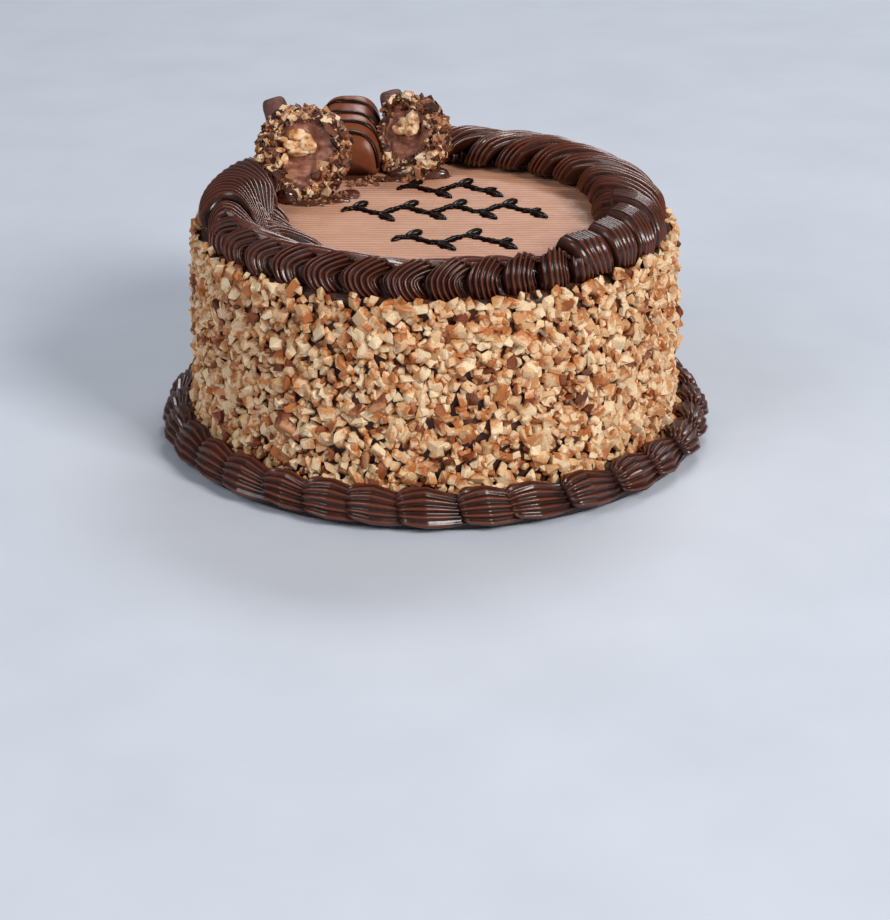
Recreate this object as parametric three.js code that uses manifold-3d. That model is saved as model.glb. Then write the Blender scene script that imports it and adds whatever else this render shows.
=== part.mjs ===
// A small round chocolate hazelnut cake: chopped nuts on its side, piped chocolate borders,
// an icing top with piped vines, and cut pralines, a wafer bar and sticks on top.
// Millimetres, +Z up, the origin is the middle of the flat base, and -Y is the front.
import * as THREE from 'three';
import { mergeVertices } from 'three/addons/utils/BufferGeometryUtils.js';
import Module from 'manifold-3d';

const wasm = await Module();
wasm.setup();

// Cake and icing.
const CAKE_TOP_RADIUS = 79.2;
const CAKE_FOOT_RADIUS = 80.6;
const CAKE_HEIGHT = 72.0;
const CAKE_EDGE_ROUND = 2.0;
const CAKE_SIDES = 72;
const ICING_TOP = 74.4;
const ICING_RADIUS = 78.6;
const GAP = 0.3;

// Chopped nuts on the side, the largest ones.
const NUT_COUNT = 100;
const NUT_LONG = 4.8;
const NUT_WIDE = 3.8;
const NUT_THICK = 3.0;
const NUT_LEAN = 0.7;
const NUT_BAND_LOW = 16.5;
const NUT_BAND_HIGH = 69.0;
const NUT_SINK = 0.1;
const NUT_SEED = 7;

// Top border: a rope of overlapping piped shells, in two runs that meet at the front right.
const TOP_RING_RADIUS = 66.1;
const TOP_RING_HALF_WIDTH = 13.3;
const TOP_RING_HEIGHT = 11.4;
const TOP_RING_POINTS = 9;
const TOP_RING_FULLNESS = 0.75;
const TOP_RING_FOOT = 0.95;
const FRONT_MIDDLE = 270;
const FRONT_REACH = 90;
const FRONT_FADE = 35;
const FRONT_TAIL_SHARE = 0.12;
const FRONT_CLIMB_SHARE = 1.05;
const FRONT_CREST_SHARE = 0.92;
const TOP_RUN_A = { start: 176, step: 9.5, shells: 14 };
const TOP_RUN_B = { start: 510, step: 9.4, shells: 20 };
const SHELL_LEAN_TAIL = 0.8;
const SHELL_LEAN_CURL = 0.3;
const SHELL_LEAN_TURN = 0.68;
const SHELL_STATIONS = [[0, 0.82], [0.12, 0.94], [0.4, 1.0], [0.75, 0.92]];
const LAST_LOBE_LINES = [0, 0.35, 0.7];
const LAST_LOBE_SWELL = 0.97;
const SWIRL_LINES = [0.2, 0.5, 0.8];
const SWIRL_SWELL = 1.05;

// Bottom border: a ring of piped shells that taper into their tails.
const BOTTOM_SHELLS = 30;
const BOTTOM_INNER_RADIUS = 81.1;
const BOTTOM_OUTER_RADIUS = 95.6;
const BOTTOM_HEIGHT = 12.8;
const BOTTOM_POINTS = 7;
const BOTTOM_TURN_START = 232.7;
const BOTTOM_STATIONS = [[0, 0.70], [0.06, 0.88], [0.25, 1.0], [0.55, 0.9], [0.85, 0.74]];
const BOTTOM_BELLY = 0.1;
const BOTTOM_FULLNESS = 0.8;

// Cut pralines: centre, radius and the direction that the cut face looks.
const PRALINE_LEFT = { centre: [-45.6, 23.5, 89.7], radius: 16.0, face: [-0.08, -0.95, 0.3] };
const PRALINE_RIGHT = { centre: [-9.6, 48.3, 88.2], radius: 14.3, face: [-0.55, -0.79, 0.27] };
const CRUST_SHARE = 0.2;
const CRUST_ROUGHNESS = 0.035;
const CRUST_WAVES = [9, 8, 7];
const BALL_SIDES = 18;
const BALL_BANDS = 12;
const KERNEL_SHARE = 0.42;
const KERNEL_FLATNESS = 0.8;
const KERNEL_DEPTH = 0.9;
const KERNEL_OFFSET = 0.17;

// Wafer bar with its drizzle, front end on the icing and back end over the border.
const BAR_FRONT = [-30.8, 45.5, 75.0];
const BAR_LENGTH = 31.0;
const BAR_CLIMB = 19;
const BAR_HALF_WIDTH = 11.5;
const BAR_TOP_HALF_WIDTH = 9.5;
const BAR_HEIGHT = 13.8;
const BAR_SHOULDER = 0.6;
const BAR_ARC_STEPS = 8;
const BAR_STATIONS = [[0, 0.72], [0.08, 0.9], [0.3, 1.0], [0.62, 0.96], [1, 0.9]];
const DRIZZLE_PLACES = [0.26, 0.42, 0.6, 0.8];
const DRIZZLE_PROUD = 0.7;
const DRIZZLE_WIDTH = 1.6;

// Chocolate sticks: foot and top of each one's axis.
const STICK_RADIUS = 4.25;
const STICK_EASE = 0.9;
const STICK_SIDES = 14;
const STICK_LEFT = { foot: [-49.6, 44.6, 75.2], top: [-57.5, 50.0, 101.6] };
const STICK_RIGHT = { foot: [-10.6, 67.0, 75.2], top: [-16.6, 70.5, 98.8] };

// Ganache: a dab beside the left praline, and a bed under the right one.
const DAB = { centre: [-50.6, 15.2, 76.4], radii: [3.5, 3.3, 3.1] };
const BED = { centre: [-5.4, 45.2, 74.7], radii: [11.5, 4.0, 3.6] };

// Piped vines on the icing: a waving stem with a leaf on each crest and hollow of its wave.
const VINE_LINE_RADIUS = 1.35;
const VINE_LINE_SIDES = 5;
const VINE_STEPS_PER_WAVE = 6;
const VINE_SWING = 3.2;
const VINE_TILT = 3;
const VINE_ROWS = [
  { x: 4.0, y: 30.5, half: 17.5, waves: 2 },
  { x: 2.0, y: 6.0, half: 34.0, waves: 4 },
  { x: 5.6, y: -26.0, half: 20.0, waves: 2 },
];
const LEAF_LONG = 3.9;
const LEAF_WIDE = 1.7;
const LEAF_HIGH = 1.4;
const LEAF_SLOPE = 55;
const LEAF_REACH = 4.9;

const radians = THREE.MathUtils.degToRad;

function vector(values) {
  return new THREE.Vector3(values[0], values[1], values[2]);
}

// A repeatable random draw from 0 to 1.
function seededRandom(seed) {
  let state = seed;
  return () => {
    state = (state * 16807) % 2147483647;
    return state / 2147483647;
  };
}

function toSolid(geometry) {
  const bare = geometry.clone();
  bare.deleteAttribute('normal');
  bare.deleteAttribute('uv');
  const merged = mergeVertices(bare, 1e-4);
  const vertProperties = new Float32Array(merged.attributes.position.array);
  const triVerts = new Uint32Array(merged.index.array);
  return new wasm.Manifold(new wasm.Mesh({ numProp: 3, vertProperties, triVerts }));
}

function toGeometry(solid) {
  const mesh = solid.getMesh();
  const geometry = new THREE.BufferGeometry();
  geometry.setAttribute('position', new THREE.BufferAttribute(mesh.vertProperties, 3));
  geometry.setIndex(new THREE.BufferAttribute(mesh.triVerts, 1));
  return geometry;
}

// Joins sections, each a list of points round a closed outline, into one closed surface.
// A ring's last section joins its first one, and a bar's end sections are closed by fans.
function loft(sections, isRing) {
  const count = sections[0].length;
  const positions = sections.flat().flatMap((point) => point.toArray());
  const index = [];
  const spans = isRing ? sections.length : sections.length - 1;
  for (let i = 0; i < spans; i += 1) {
    const next = (i + 1) % sections.length;
    for (let j = 0; j < count; j += 1) {
      const k = (j + 1) % count;
      const corner = [i * count + j, i * count + k, next * count + j, next * count + k];
      index.push(corner[0], corner[2], corner[3]);
      index.push(corner[0], corner[3], corner[1]);
    }
  }
  if (!isRing) {
    addFan(positions, index, sections[0], 0, false);
    addFan(positions, index, sections.at(-1), (sections.length - 1) * count, true);
  }
  const geometry = new THREE.BufferGeometry();
  geometry.setAttribute('position', new THREE.Float32BufferAttribute(positions, 3));
  geometry.setIndex(index);
  return geometry;
}

function addFan(positions, index, section, first, isEnd) {
  const middle = new THREE.Vector3();
  section.forEach((point) => middle.addScaledVector(point, 1 / section.length));
  const hub = positions.length / 3;
  positions.push(middle.x, middle.y, middle.z);
  for (let j = 0; j < section.length; j += 1) {
    const k = (j + 1) % section.length;
    const pair = isEnd ? [first + k, first + j] : [first + j, first + k];
    index.push(hub, pair[0], pair[1]);
  }
}

function outwards(solid, geometry) {
  if (solid.volume() > 0) return solid;
  const index = geometry.index.array;
  for (let i = 0; i < index.length; i += 3) [index[i], index[i + 1]] = [index[i + 1], index[i]];
  return toSolid(geometry);
}

function loftSolid(sections, isRing) {
  const geometry = loft(sections, isRing);
  return outwards(toSolid(geometry), geometry);
}

function onRing(angle, radius, height) {
  const turn = radians(angle);
  return new THREE.Vector3(radius * Math.cos(turn), radius * Math.sin(turn), height);
}

// Cake: a turned core, with the largest chopped nuts set into its side.
function cakeCore() {
  const profile = new THREE.Path();
  profile.moveTo(0, 0);
  profile.lineTo(CAKE_FOOT_RADIUS, 0);
  profile.lineTo(CAKE_TOP_RADIUS, CAKE_HEIGHT - CAKE_EDGE_ROUND);
  profile.lineTo(CAKE_TOP_RADIUS - CAKE_EDGE_ROUND, CAKE_HEIGHT);
  profile.lineTo(0, CAKE_HEIGHT);
  const geometry = new THREE.LatheGeometry(profile.getPoints(1), CAKE_SIDES);
  geometry.rotateX(Math.PI / 2);
  return toSolid(geometry);
}

function choppedNut(random, turn) {
  const size = 0.8 + 0.4 * random();
  const chip = new THREE.BoxGeometry(NUT_THICK, NUT_WIDE * size, NUT_LONG * size);
  chip.rotateX(random() * Math.PI);
  chip.rotateY(NUT_LEAN * (random() - 0.5));
  chip.rotateZ(NUT_LEAN * (random() - 0.5));
  const share = random();
  const height = NUT_BAND_LOW + share * (NUT_BAND_HIGH - NUT_BAND_LOW);
  const side = CAKE_FOOT_RADIUS + (CAKE_TOP_RADIUS - CAKE_FOOT_RADIUS) * height / CAKE_HEIGHT;
  chip.translate(side - NUT_SINK, 0, height);
  chip.rotateZ(turn);
  return chip;
}

function cakeBody() {
  const random = seededRandom(NUT_SEED);
  const goldenTurn = Math.PI * (3 - Math.sqrt(5));
  const nuts = [];
  for (let i = 0; i < NUT_COUNT; i += 1) nuts.push(toSolid(choppedNut(random, i * goldenTurn)));
  return nuts.reduce((body, nut) => body.add(nut), cakeCore());
}

// Top border: how far a shell's edge leans along its run, as a share of its step, from the
// tail (side 0) over the crest and the turn to the curl at the far foot (side 1).
function shellLean(side) {
  if (side < SHELL_LEAN_TURN) return SHELL_LEAN_TAIL * (1 - side / SHELL_LEAN_TURN) ** 2;
  return SHELL_LEAN_CURL * ((side - SHELL_LEAN_TURN) / (1 - SHELL_LEAN_TURN)) ** 2;
}

// The front shells lie lower, with thin tails: their share of the full height climbs evenly from
// the inner foot to the crest. The lowering fades out towards both ends of the front.
function heightShare(angle, side) {
  const away = Math.abs((((angle - FRONT_MIDDLE) % 360) + 540) % 360 - 180);
  const fade = Math.min(1, Math.max(0, (FRONT_REACH - away) / FRONT_FADE));
  const low = Math.min(FRONT_CREST_SHARE, FRONT_TAIL_SHARE + FRONT_CLIMB_SHARE * side);
  return 1 + (low - 1) * fade;
}

// One line of the top border across its section: angleAt gives its angle at each side value.
function borderLine(angleAt, swell) {
  const line = [];
  for (let j = 0; j < TOP_RING_POINTS; j += 1) {
    const side = j / (TOP_RING_POINTS - 1);
    const across = -TOP_RING_HALF_WIDTH * Math.cos(Math.PI * side);
    const angle = angleAt(side);
    const bow = Math.sin(Math.PI * side) ** TOP_RING_FULLNESS;
    const rise = TOP_RING_HEIGHT * bow * heightShare(angle, side);
    const foot = side === 0 || side === 1 ? TOP_RING_FOOT : swell;
    const radius = TOP_RING_RADIUS + across * foot;
    line.push(onRing(angle, radius, ICING_TOP + GAP + rise * swell));
  }
  return line;
}

function plainLines(from, to, shares, swell) {
  return shares.map((share) => borderLine(
    (side) => from(side) + (to(side) - from(side)) * share,
    swell,
  ));
}

function topRing() {
  const lines = [];
  const { start, step, shells } = TOP_RUN_A;
  const edgeA = (n) => (side) => start + step * (n + shellLean(side));
  const edgeB = (n) => (side) => TOP_RUN_B.start - TOP_RUN_B.step * (n + shellLean(1 - side));
  for (let n = 0; n < shells; n += 1) {
    for (const [share, swell] of SHELL_STATIONS) lines.push(borderLine(edgeA(n + share), swell));
  }
  lines.push(...plainLines(edgeA(shells), edgeB(TOP_RUN_B.shells), LAST_LOBE_LINES, LAST_LOBE_SWELL));
  for (let n = TOP_RUN_B.shells - 1; n >= 0; n -= 1) {
    for (const [share, swell] of SHELL_STATIONS.toReversed()) {
      lines.push(borderLine(edgeB(n + share), swell));
    }
  }
  const again = (side) => edgeA(0)(side) + 360;
  lines.push(...plainLines(edgeB(0), again, SWIRL_LINES, SWIRL_SWELL));
  return loftSolid(lines, true);
}

// Bottom border: shells whose round heads lie on the tails before them.
function bottomRing() {
  const lines = [];
  const width = BOTTOM_OUTER_RADIUS - BOTTOM_INNER_RADIUS;
  for (let n = 0; n < BOTTOM_SHELLS; n += 1) {
    for (const [share, swell] of BOTTOM_STATIONS) {
      const angle = BOTTOM_TURN_START + (n + share) * 360 / BOTTOM_SHELLS;
      const line = [onRing(angle, BOTTOM_INNER_RADIUS, 0)];
      for (let j = 0; j < BOTTOM_POINTS; j += 1) {
        const turn = 0.5 * Math.PI * j / (BOTTOM_POINTS - 1);
        const belly = j === BOTTOM_POINTS - 1 ? 1 - BOTTOM_BELLY : 1;
        const radius = BOTTOM_INNER_RADIUS + width * swell * belly * Math.sin(turn) ** BOTTOM_FULLNESS;
        line.push(onRing(angle, radius, BOTTOM_HEIGHT * swell * Math.cos(turn) ** BOTTOM_FULLNESS));
      }
      lines.push(line);
    }
  }
  return loftSolid(lines, true);
}

// Pralines: a ball halved by its cut face, with a crust, cream and a kernel off its middle.
function roughBall(radius, roughness) {
  const geometry = new THREE.SphereGeometry(radius, BALL_SIDES, BALL_BANDS);
  const place = geometry.attributes.position;
  const point = new THREE.Vector3();
  for (let i = 0; i < place.count; i += 1) {
    point.fromBufferAttribute(place, i).divideScalar(radius);
    const waves = CRUST_WAVES.map((count, axis) => Math.sin(count * point.getComponent(axis) + axis));
    const wave = waves[0] * waves[1] * waves[2];
    point.multiplyScalar(radius * (1 - roughness + roughness * wave));
    place.setXYZ(i, point.x, point.y, point.z);
  }
  return toSolid(geometry);
}

// Turns a shape whose cut face looks along +Z to the praline's face, and sets it in place.
function setPraline(solid, praline) {
  const face = vector(praline.face).normalize();
  const across = new THREE.Vector3(0, 0, 1).cross(face).normalize();
  const up = new THREE.Vector3().crossVectors(face, across);
  const matrix = new THREE.Matrix4().makeBasis(across, up, face);
  matrix.setPosition(vector(praline.centre));
  const geometry = toGeometry(solid);
  geometry.applyMatrix4(matrix);
  return toSolid(geometry);
}

function slab(low, high) {
  const size = vector(high).sub(vector(low));
  const box = new THREE.BoxGeometry(size.x, size.y, size.z);
  const middle = vector(low).addScaledVector(size, 0.5);
  box.translate(middle.x, middle.y, middle.z);
  return toSolid(box);
}

const REACH = 200;
const frontHalf = slab([-REACH, -REACH, 0], [REACH, REACH, REACH]);
const belowTable = slab([-REACH, -REACH, -REACH], [REACH, REACH, ICING_TOP + GAP]);

function kernelSolid(praline, grow) {
  const kernel = new THREE.SphereGeometry(KERNEL_SHARE * praline.radius, 12, 8);
  kernel.scale(1, KERNEL_FLATNESS, KERNEL_DEPTH);
  const share = 1 + grow / (KERNEL_SHARE * praline.radius);
  kernel.scale(share, share, share);
  const shift = KERNEL_OFFSET * praline.radius;
  kernel.translate(-shift, shift, 0);
  return toSolid(kernel);
}

function pralineCrust(praline) {
  const inner = roughBall(praline.radius * (1 - CRUST_SHARE), 0);
  const bowl = roughBall(praline.radius, CRUST_ROUGHNESS).subtract(inner).subtract(frontHalf);
  return setPraline(bowl, praline).subtract(belowTable);
}

function pralineCream(praline) {
  const ball = roughBall(praline.radius * (1 - CRUST_SHARE) - GAP, 0);
  return setPraline(ball.subtract(frontHalf).subtract(kernelSolid(praline, GAP)), praline);
}

function pralineKernel(praline) {
  return setPraline(kernelSolid(praline, 0).subtract(frontHalf), praline);
}

// Wafer bar: a round-shouldered section carried along a climbing line.
function barPoint(share, across, rise) {
  const climb = radians(BAR_CLIMB);
  const along = share * BAR_LENGTH;
  const y = along * Math.cos(climb) - rise * Math.sin(climb) * share;
  return vector(BAR_FRONT).add(new THREE.Vector3(across, y, along * Math.sin(climb) + rise));
}

function barSection(share, swell, proud) {
  const points = [];
  for (let j = 0; j <= BAR_ARC_STEPS; j += 1) {
    const turn = Math.PI * j / BAR_ARC_STEPS;
    const rise = (BAR_HEIGHT * swell + proud) * Math.sin(turn) ** BAR_SHOULDER;
    const half = BAR_HALF_WIDTH + (BAR_TOP_HALF_WIDTH - BAR_HALF_WIDTH) * Math.sin(turn);
    const shoulder = Math.sign(Math.cos(turn)) * Math.abs(Math.cos(turn)) ** BAR_SHOULDER;
    points.push(barPoint(share, shoulder * (half * Math.sqrt(swell) + proud), rise));
  }
  return points;
}

function barSwell(share) {
  const above = BAR_STATIONS.findIndex(([place]) => place >= share);
  const [low, high] = [BAR_STATIONS[above - 1], BAR_STATIONS[above]];
  return low[1] + (high[1] - low[1]) * (share - low[0]) / (high[0] - low[0]);
}

function waferBar() {
  const bar = loftSolid(BAR_STATIONS.map(([share, swell]) => barSection(share, swell, 0)), false);
  const half = 0.5 * DRIZZLE_WIDTH / BAR_LENGTH;
  const bands = DRIZZLE_PLACES.map((place) => loftSolid([
    barSection(place - half, barSwell(place - half), DRIZZLE_PROUD * 0.5),
    barSection(place, barSwell(place), DRIZZLE_PROUD),
    barSection(place + half, barSwell(place + half), DRIZZLE_PROUD * 0.5),
  ], false));
  return bands.reduce((joined, band) => joined.add(band), bar).subtract(belowTable);
}

// Chocolate sticks: leaning rolls with slightly eased ends.
function stickSolid(stick, grow) {
  const foot = vector(stick.foot);
  const axis = vector(stick.top).sub(foot);
  const length = axis.length();
  const radius = STICK_RADIUS + grow;
  const profile = new THREE.Path();
  profile.moveTo(0, -grow);
  profile.lineTo(radius, -grow);
  profile.lineTo(radius, length - STICK_EASE + grow);
  profile.lineTo(radius - STICK_EASE, length + grow);
  profile.lineTo(0, length + grow);
  const geometry = new THREE.LatheGeometry(profile.getPoints(1), STICK_SIDES);
  const up = new THREE.Vector3(0, 1, 0);
  geometry.applyQuaternion(new THREE.Quaternion().setFromUnitVectors(up, axis.normalize()));
  geometry.translate(foot.x, foot.y, foot.z);
  return toSolid(geometry).subtract(belowTable);
}

function mound({ centre, radii }, grow) {
  const ball = new THREE.SphereGeometry(1, 14, 10);
  ball.scale(radii[0] + grow, radii[1] + grow, radii[2] + grow);
  ball.translate(centre[0], centre[1], centre[2]);
  return toSolid(ball).subtract(belowTable);
}

// Vines: share runs from 0 to 1 along a row's stem, which waves evenly from side to side.
function vinePoint(row, share) {
  const wave = Math.sin(2 * Math.PI * row.waves * share);
  return new THREE.Vector3((2 * share - 1) * row.half, VINE_SWING * wave, 0);
}

function vineStem(row) {
  const steps = row.waves * VINE_STEPS_PER_WAVE;
  const points = Array.from({ length: steps + 1 }, (_, i) => vinePoint(row, i / steps));
  const outline = new THREE.Shape();
  outline.absarc(0, 0, VINE_LINE_RADIUS, 0, 2 * Math.PI);
  return new THREE.ExtrudeGeometry(outline, {
    steps,
    curveSegments: VINE_LINE_SIDES,
    extrudePath: new THREE.CatmullRomCurve3(points),
  });
}

function vineLeaf(row, number) {
  const base = vinePoint(row, (number + 0.5) / (2 * row.waves));
  const slope = radians(LEAF_SLOPE) * Math.sign(base.y);
  const leaf = new THREE.SphereGeometry(1, 6, 4);
  leaf.rotateX(Math.PI / 2);
  leaf.scale(LEAF_LONG, LEAF_WIDE, LEAF_HIGH);
  leaf.translate(LEAF_REACH, 0, 0);
  leaf.rotateZ(slope);
  leaf.translate(base.x, base.y, 0);
  return leaf;
}

function setVine(geometry, row) {
  geometry.rotateZ(radians(VINE_TILT));
  geometry.translate(row.x, row.y, ICING_TOP);
  return toSolid(geometry);
}

function topIcing() {
  const disc = new THREE.CylinderGeometry(
    ICING_RADIUS,
    ICING_RADIUS,
    ICING_TOP - CAKE_HEIGHT - GAP,
    CAKE_SIDES,
  );
  disc.rotateX(Math.PI / 2);
  disc.translate(0, 0, (ICING_TOP + CAKE_HEIGHT + GAP) / 2);
  let icing = toSolid(disc);
  for (const row of VINE_ROWS) {
    icing = icing.add(setVine(vineStem(row), row));
    for (let i = 0; i < 2 * row.waves; i += 1) icing = icing.add(setVine(vineLeaf(row, i), row));
  }
  return icing;
}

function grownPraline(praline) {
  const grown = { ...praline, radius: praline.radius + GAP };
  const ball = roughBall(grown.radius, 0).subtract(slab([-REACH, -REACH, GAP], [REACH, REACH, REACH]));
  return setPraline(ball, grown);
}

function grownBar() {
  const sections = BAR_STATIONS.map(([share, swell]) => barSection(share, swell, DRIZZLE_PROUD + 2 * GAP));
  const bar = loftSolid(sections, false);
  return bar.translate([0, -GAP, -GAP]).add(bar.translate([0, GAP, -GAP])).add(bar);
}

const barRoom = grownBar();
const bedRoom = mound(BED, GAP);
const toppingRoom = [
  grownPraline(PRALINE_LEFT),
  grownPraline(PRALINE_RIGHT),
  barRoom,
  stickSolid(STICK_LEFT, GAP),
  stickSolid(STICK_RIGHT, GAP),
];

// Drops the loose scraps that a cut can leave.
function largestPiece(solid) {
  return solid.decompose().reduce((best, next) => (next.volume() > best.volume() ? next : best));
}

function topBorder() {
  const rooms = [...toppingRoom, mound(DAB, GAP)];
  return largestPiece(rooms.reduce((ring, room) => ring.subtract(room), topRing()));
}

function ganacheDab() {
  return largestPiece(toppingRoom.reduce((heap, room) => heap.subtract(room), mound(DAB, 0)));
}

function piece(name, solid, color, roughness) {
  const material = new THREE.MeshStandardMaterial({ color, roughness, metalness: 0 });
  const mesh = new THREE.Mesh(toGeometry(solid), material);
  mesh.name = name;
  return mesh;
}

const cake = new THREE.Group();
cake.add(piece('cake_body', cakeBody(), 0xc99a66, 0.7));
cake.add(piece('top_icing', topIcing(), 0xc4967d, 0.6));
cake.add(piece('top_border', topBorder(), 0x4c2613, 0.35));
cake.add(piece('bottom_border', bottomRing(), 0x4c2613, 0.35));
for (const [side, praline] of [['left', PRALINE_LEFT], ['right', PRALINE_RIGHT]]) {
  const crust = largestPiece(pralineCrust(praline).subtract(barRoom).subtract(bedRoom));
  cake.add(piece(`praline_crust_${side}`, crust, 0x8a5733, 0.7));
  const cream = largestPiece(pralineCream(praline).subtract(barRoom).subtract(bedRoom));
  cake.add(piece(`praline_cream_${side}`, cream, 0x5a2f1f, 0.45));
  cake.add(piece(`praline_kernel_${side}`, pralineKernel(praline), 0xdcb07c, 0.6));
}
cake.add(piece('wafer_bar', waferBar(), 0x6b3420, 0.35));
cake.add(piece('stick_left', stickSolid(STICK_LEFT, 0), 0x4f2e25, 0.45));
cake.add(piece('stick_right', stickSolid(STICK_RIGHT, 0), 0x4f2e25, 0.45));
cake.add(piece('ganache_dab', ganacheDab(), 0x4c2613, 0.3));
cake.add(piece('ganache_bed', mound(BED, 0), 0x3a1a10, 0.3));

export default cake;
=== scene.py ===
"""Chocolate hazelnut cake: piped borders, chopped nuts, combed icing, vines and toppings."""
import math

import bpy
import numpy as np
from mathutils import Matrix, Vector


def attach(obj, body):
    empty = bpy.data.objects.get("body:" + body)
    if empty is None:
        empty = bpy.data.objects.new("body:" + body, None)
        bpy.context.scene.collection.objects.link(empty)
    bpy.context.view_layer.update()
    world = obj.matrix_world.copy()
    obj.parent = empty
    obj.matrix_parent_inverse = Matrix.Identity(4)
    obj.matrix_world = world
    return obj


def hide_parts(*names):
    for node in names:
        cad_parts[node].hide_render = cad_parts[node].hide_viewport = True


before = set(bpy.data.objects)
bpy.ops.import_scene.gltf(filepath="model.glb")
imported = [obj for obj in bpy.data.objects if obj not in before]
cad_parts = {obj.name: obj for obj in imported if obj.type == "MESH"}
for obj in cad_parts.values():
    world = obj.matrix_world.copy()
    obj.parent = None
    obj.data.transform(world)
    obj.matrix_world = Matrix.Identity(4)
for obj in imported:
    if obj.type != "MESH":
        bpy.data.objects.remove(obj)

MM = 0.001
TAU = 2.0 * math.pi
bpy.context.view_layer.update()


# ---------------------------------------------------------------- camera, lights and floor

CAMERA_PLACE = (3.25, -774.4, 323.2)
CAMERA_PITCH = 23.62
FOCAL_PIXELS = 2400.0
PICTURE_HEIGHT = 920.0
SENSOR = 36.0

camera_data = bpy.data.cameras.new("view_camera")
camera_data.sensor_width = SENSOR
camera_data.lens = FOCAL_PIXELS / PICTURE_HEIGHT * SENSOR
camera_data.clip_start = 0.01
camera_data.clip_end = 20.0
camera = bpy.data.objects.new("view_camera", camera_data)
camera.location = Vector(CAMERA_PLACE) * MM
camera.rotation_euler = (math.radians(90.0 - CAMERA_PITCH), 0.0, 0.0)
bpy.context.scene.collection.objects.link(camera)
bpy.context.scene.camera = camera
bpy.context.scene.view_settings.view_transform = "Standard"


def soft_light(name, place, size, power, tint):
    """A square softbox at a place in metres, turned to the middle of the cake."""
    data = bpy.data.lights.new(name, "AREA")
    data.shape = "RECTANGLE"
    data.size = size[0]
    data.size_y = size[1]
    data.energy = power
    data.color = tint
    lamp = bpy.data.objects.new(name, data)
    lamp.location = place
    aim = Vector((0.0, 0.0, 0.05)) - Vector(place)
    lamp.rotation_euler = aim.to_track_quat("-Z", "Y").to_euler()
    bpy.context.scene.collection.objects.link(lamp)


soft_light("key_softbox", (1.4, -1.4, 1.35), (0.75, 0.75), 46.0, (1.0, 0.98, 0.95))
soft_light("left_softbox", (-1.35, -1.3, 1.4), (0.9, 1.1), 17.0, (0.97, 0.985, 1.0))
soft_light("back_softbox", (0.5, 1.5, 1.8), (1.2, 0.5), 21.0, (0.94, 0.98, 1.0))

world = bpy.data.worlds.new("studio_air")
world.use_nodes = True
world.node_tree.nodes["Background"].inputs["Color"].default_value = (0.86, 0.93, 1.0, 1.0)
world.node_tree.nodes["Background"].inputs["Strength"].default_value = 0.18
bpy.context.scene.world = world


# ---------------------------------------------------------------- finishes


def linear(red, green, blue):
    """The light value of a screen colour given in steps of 255."""
    share = np.array([red, green, blue]) / 255.0
    light = np.where(share <= 0.04045, share / 12.92, ((share + 0.055) / 1.055) ** 2.4)
    return (*light.tolist(), 1.0)


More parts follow.
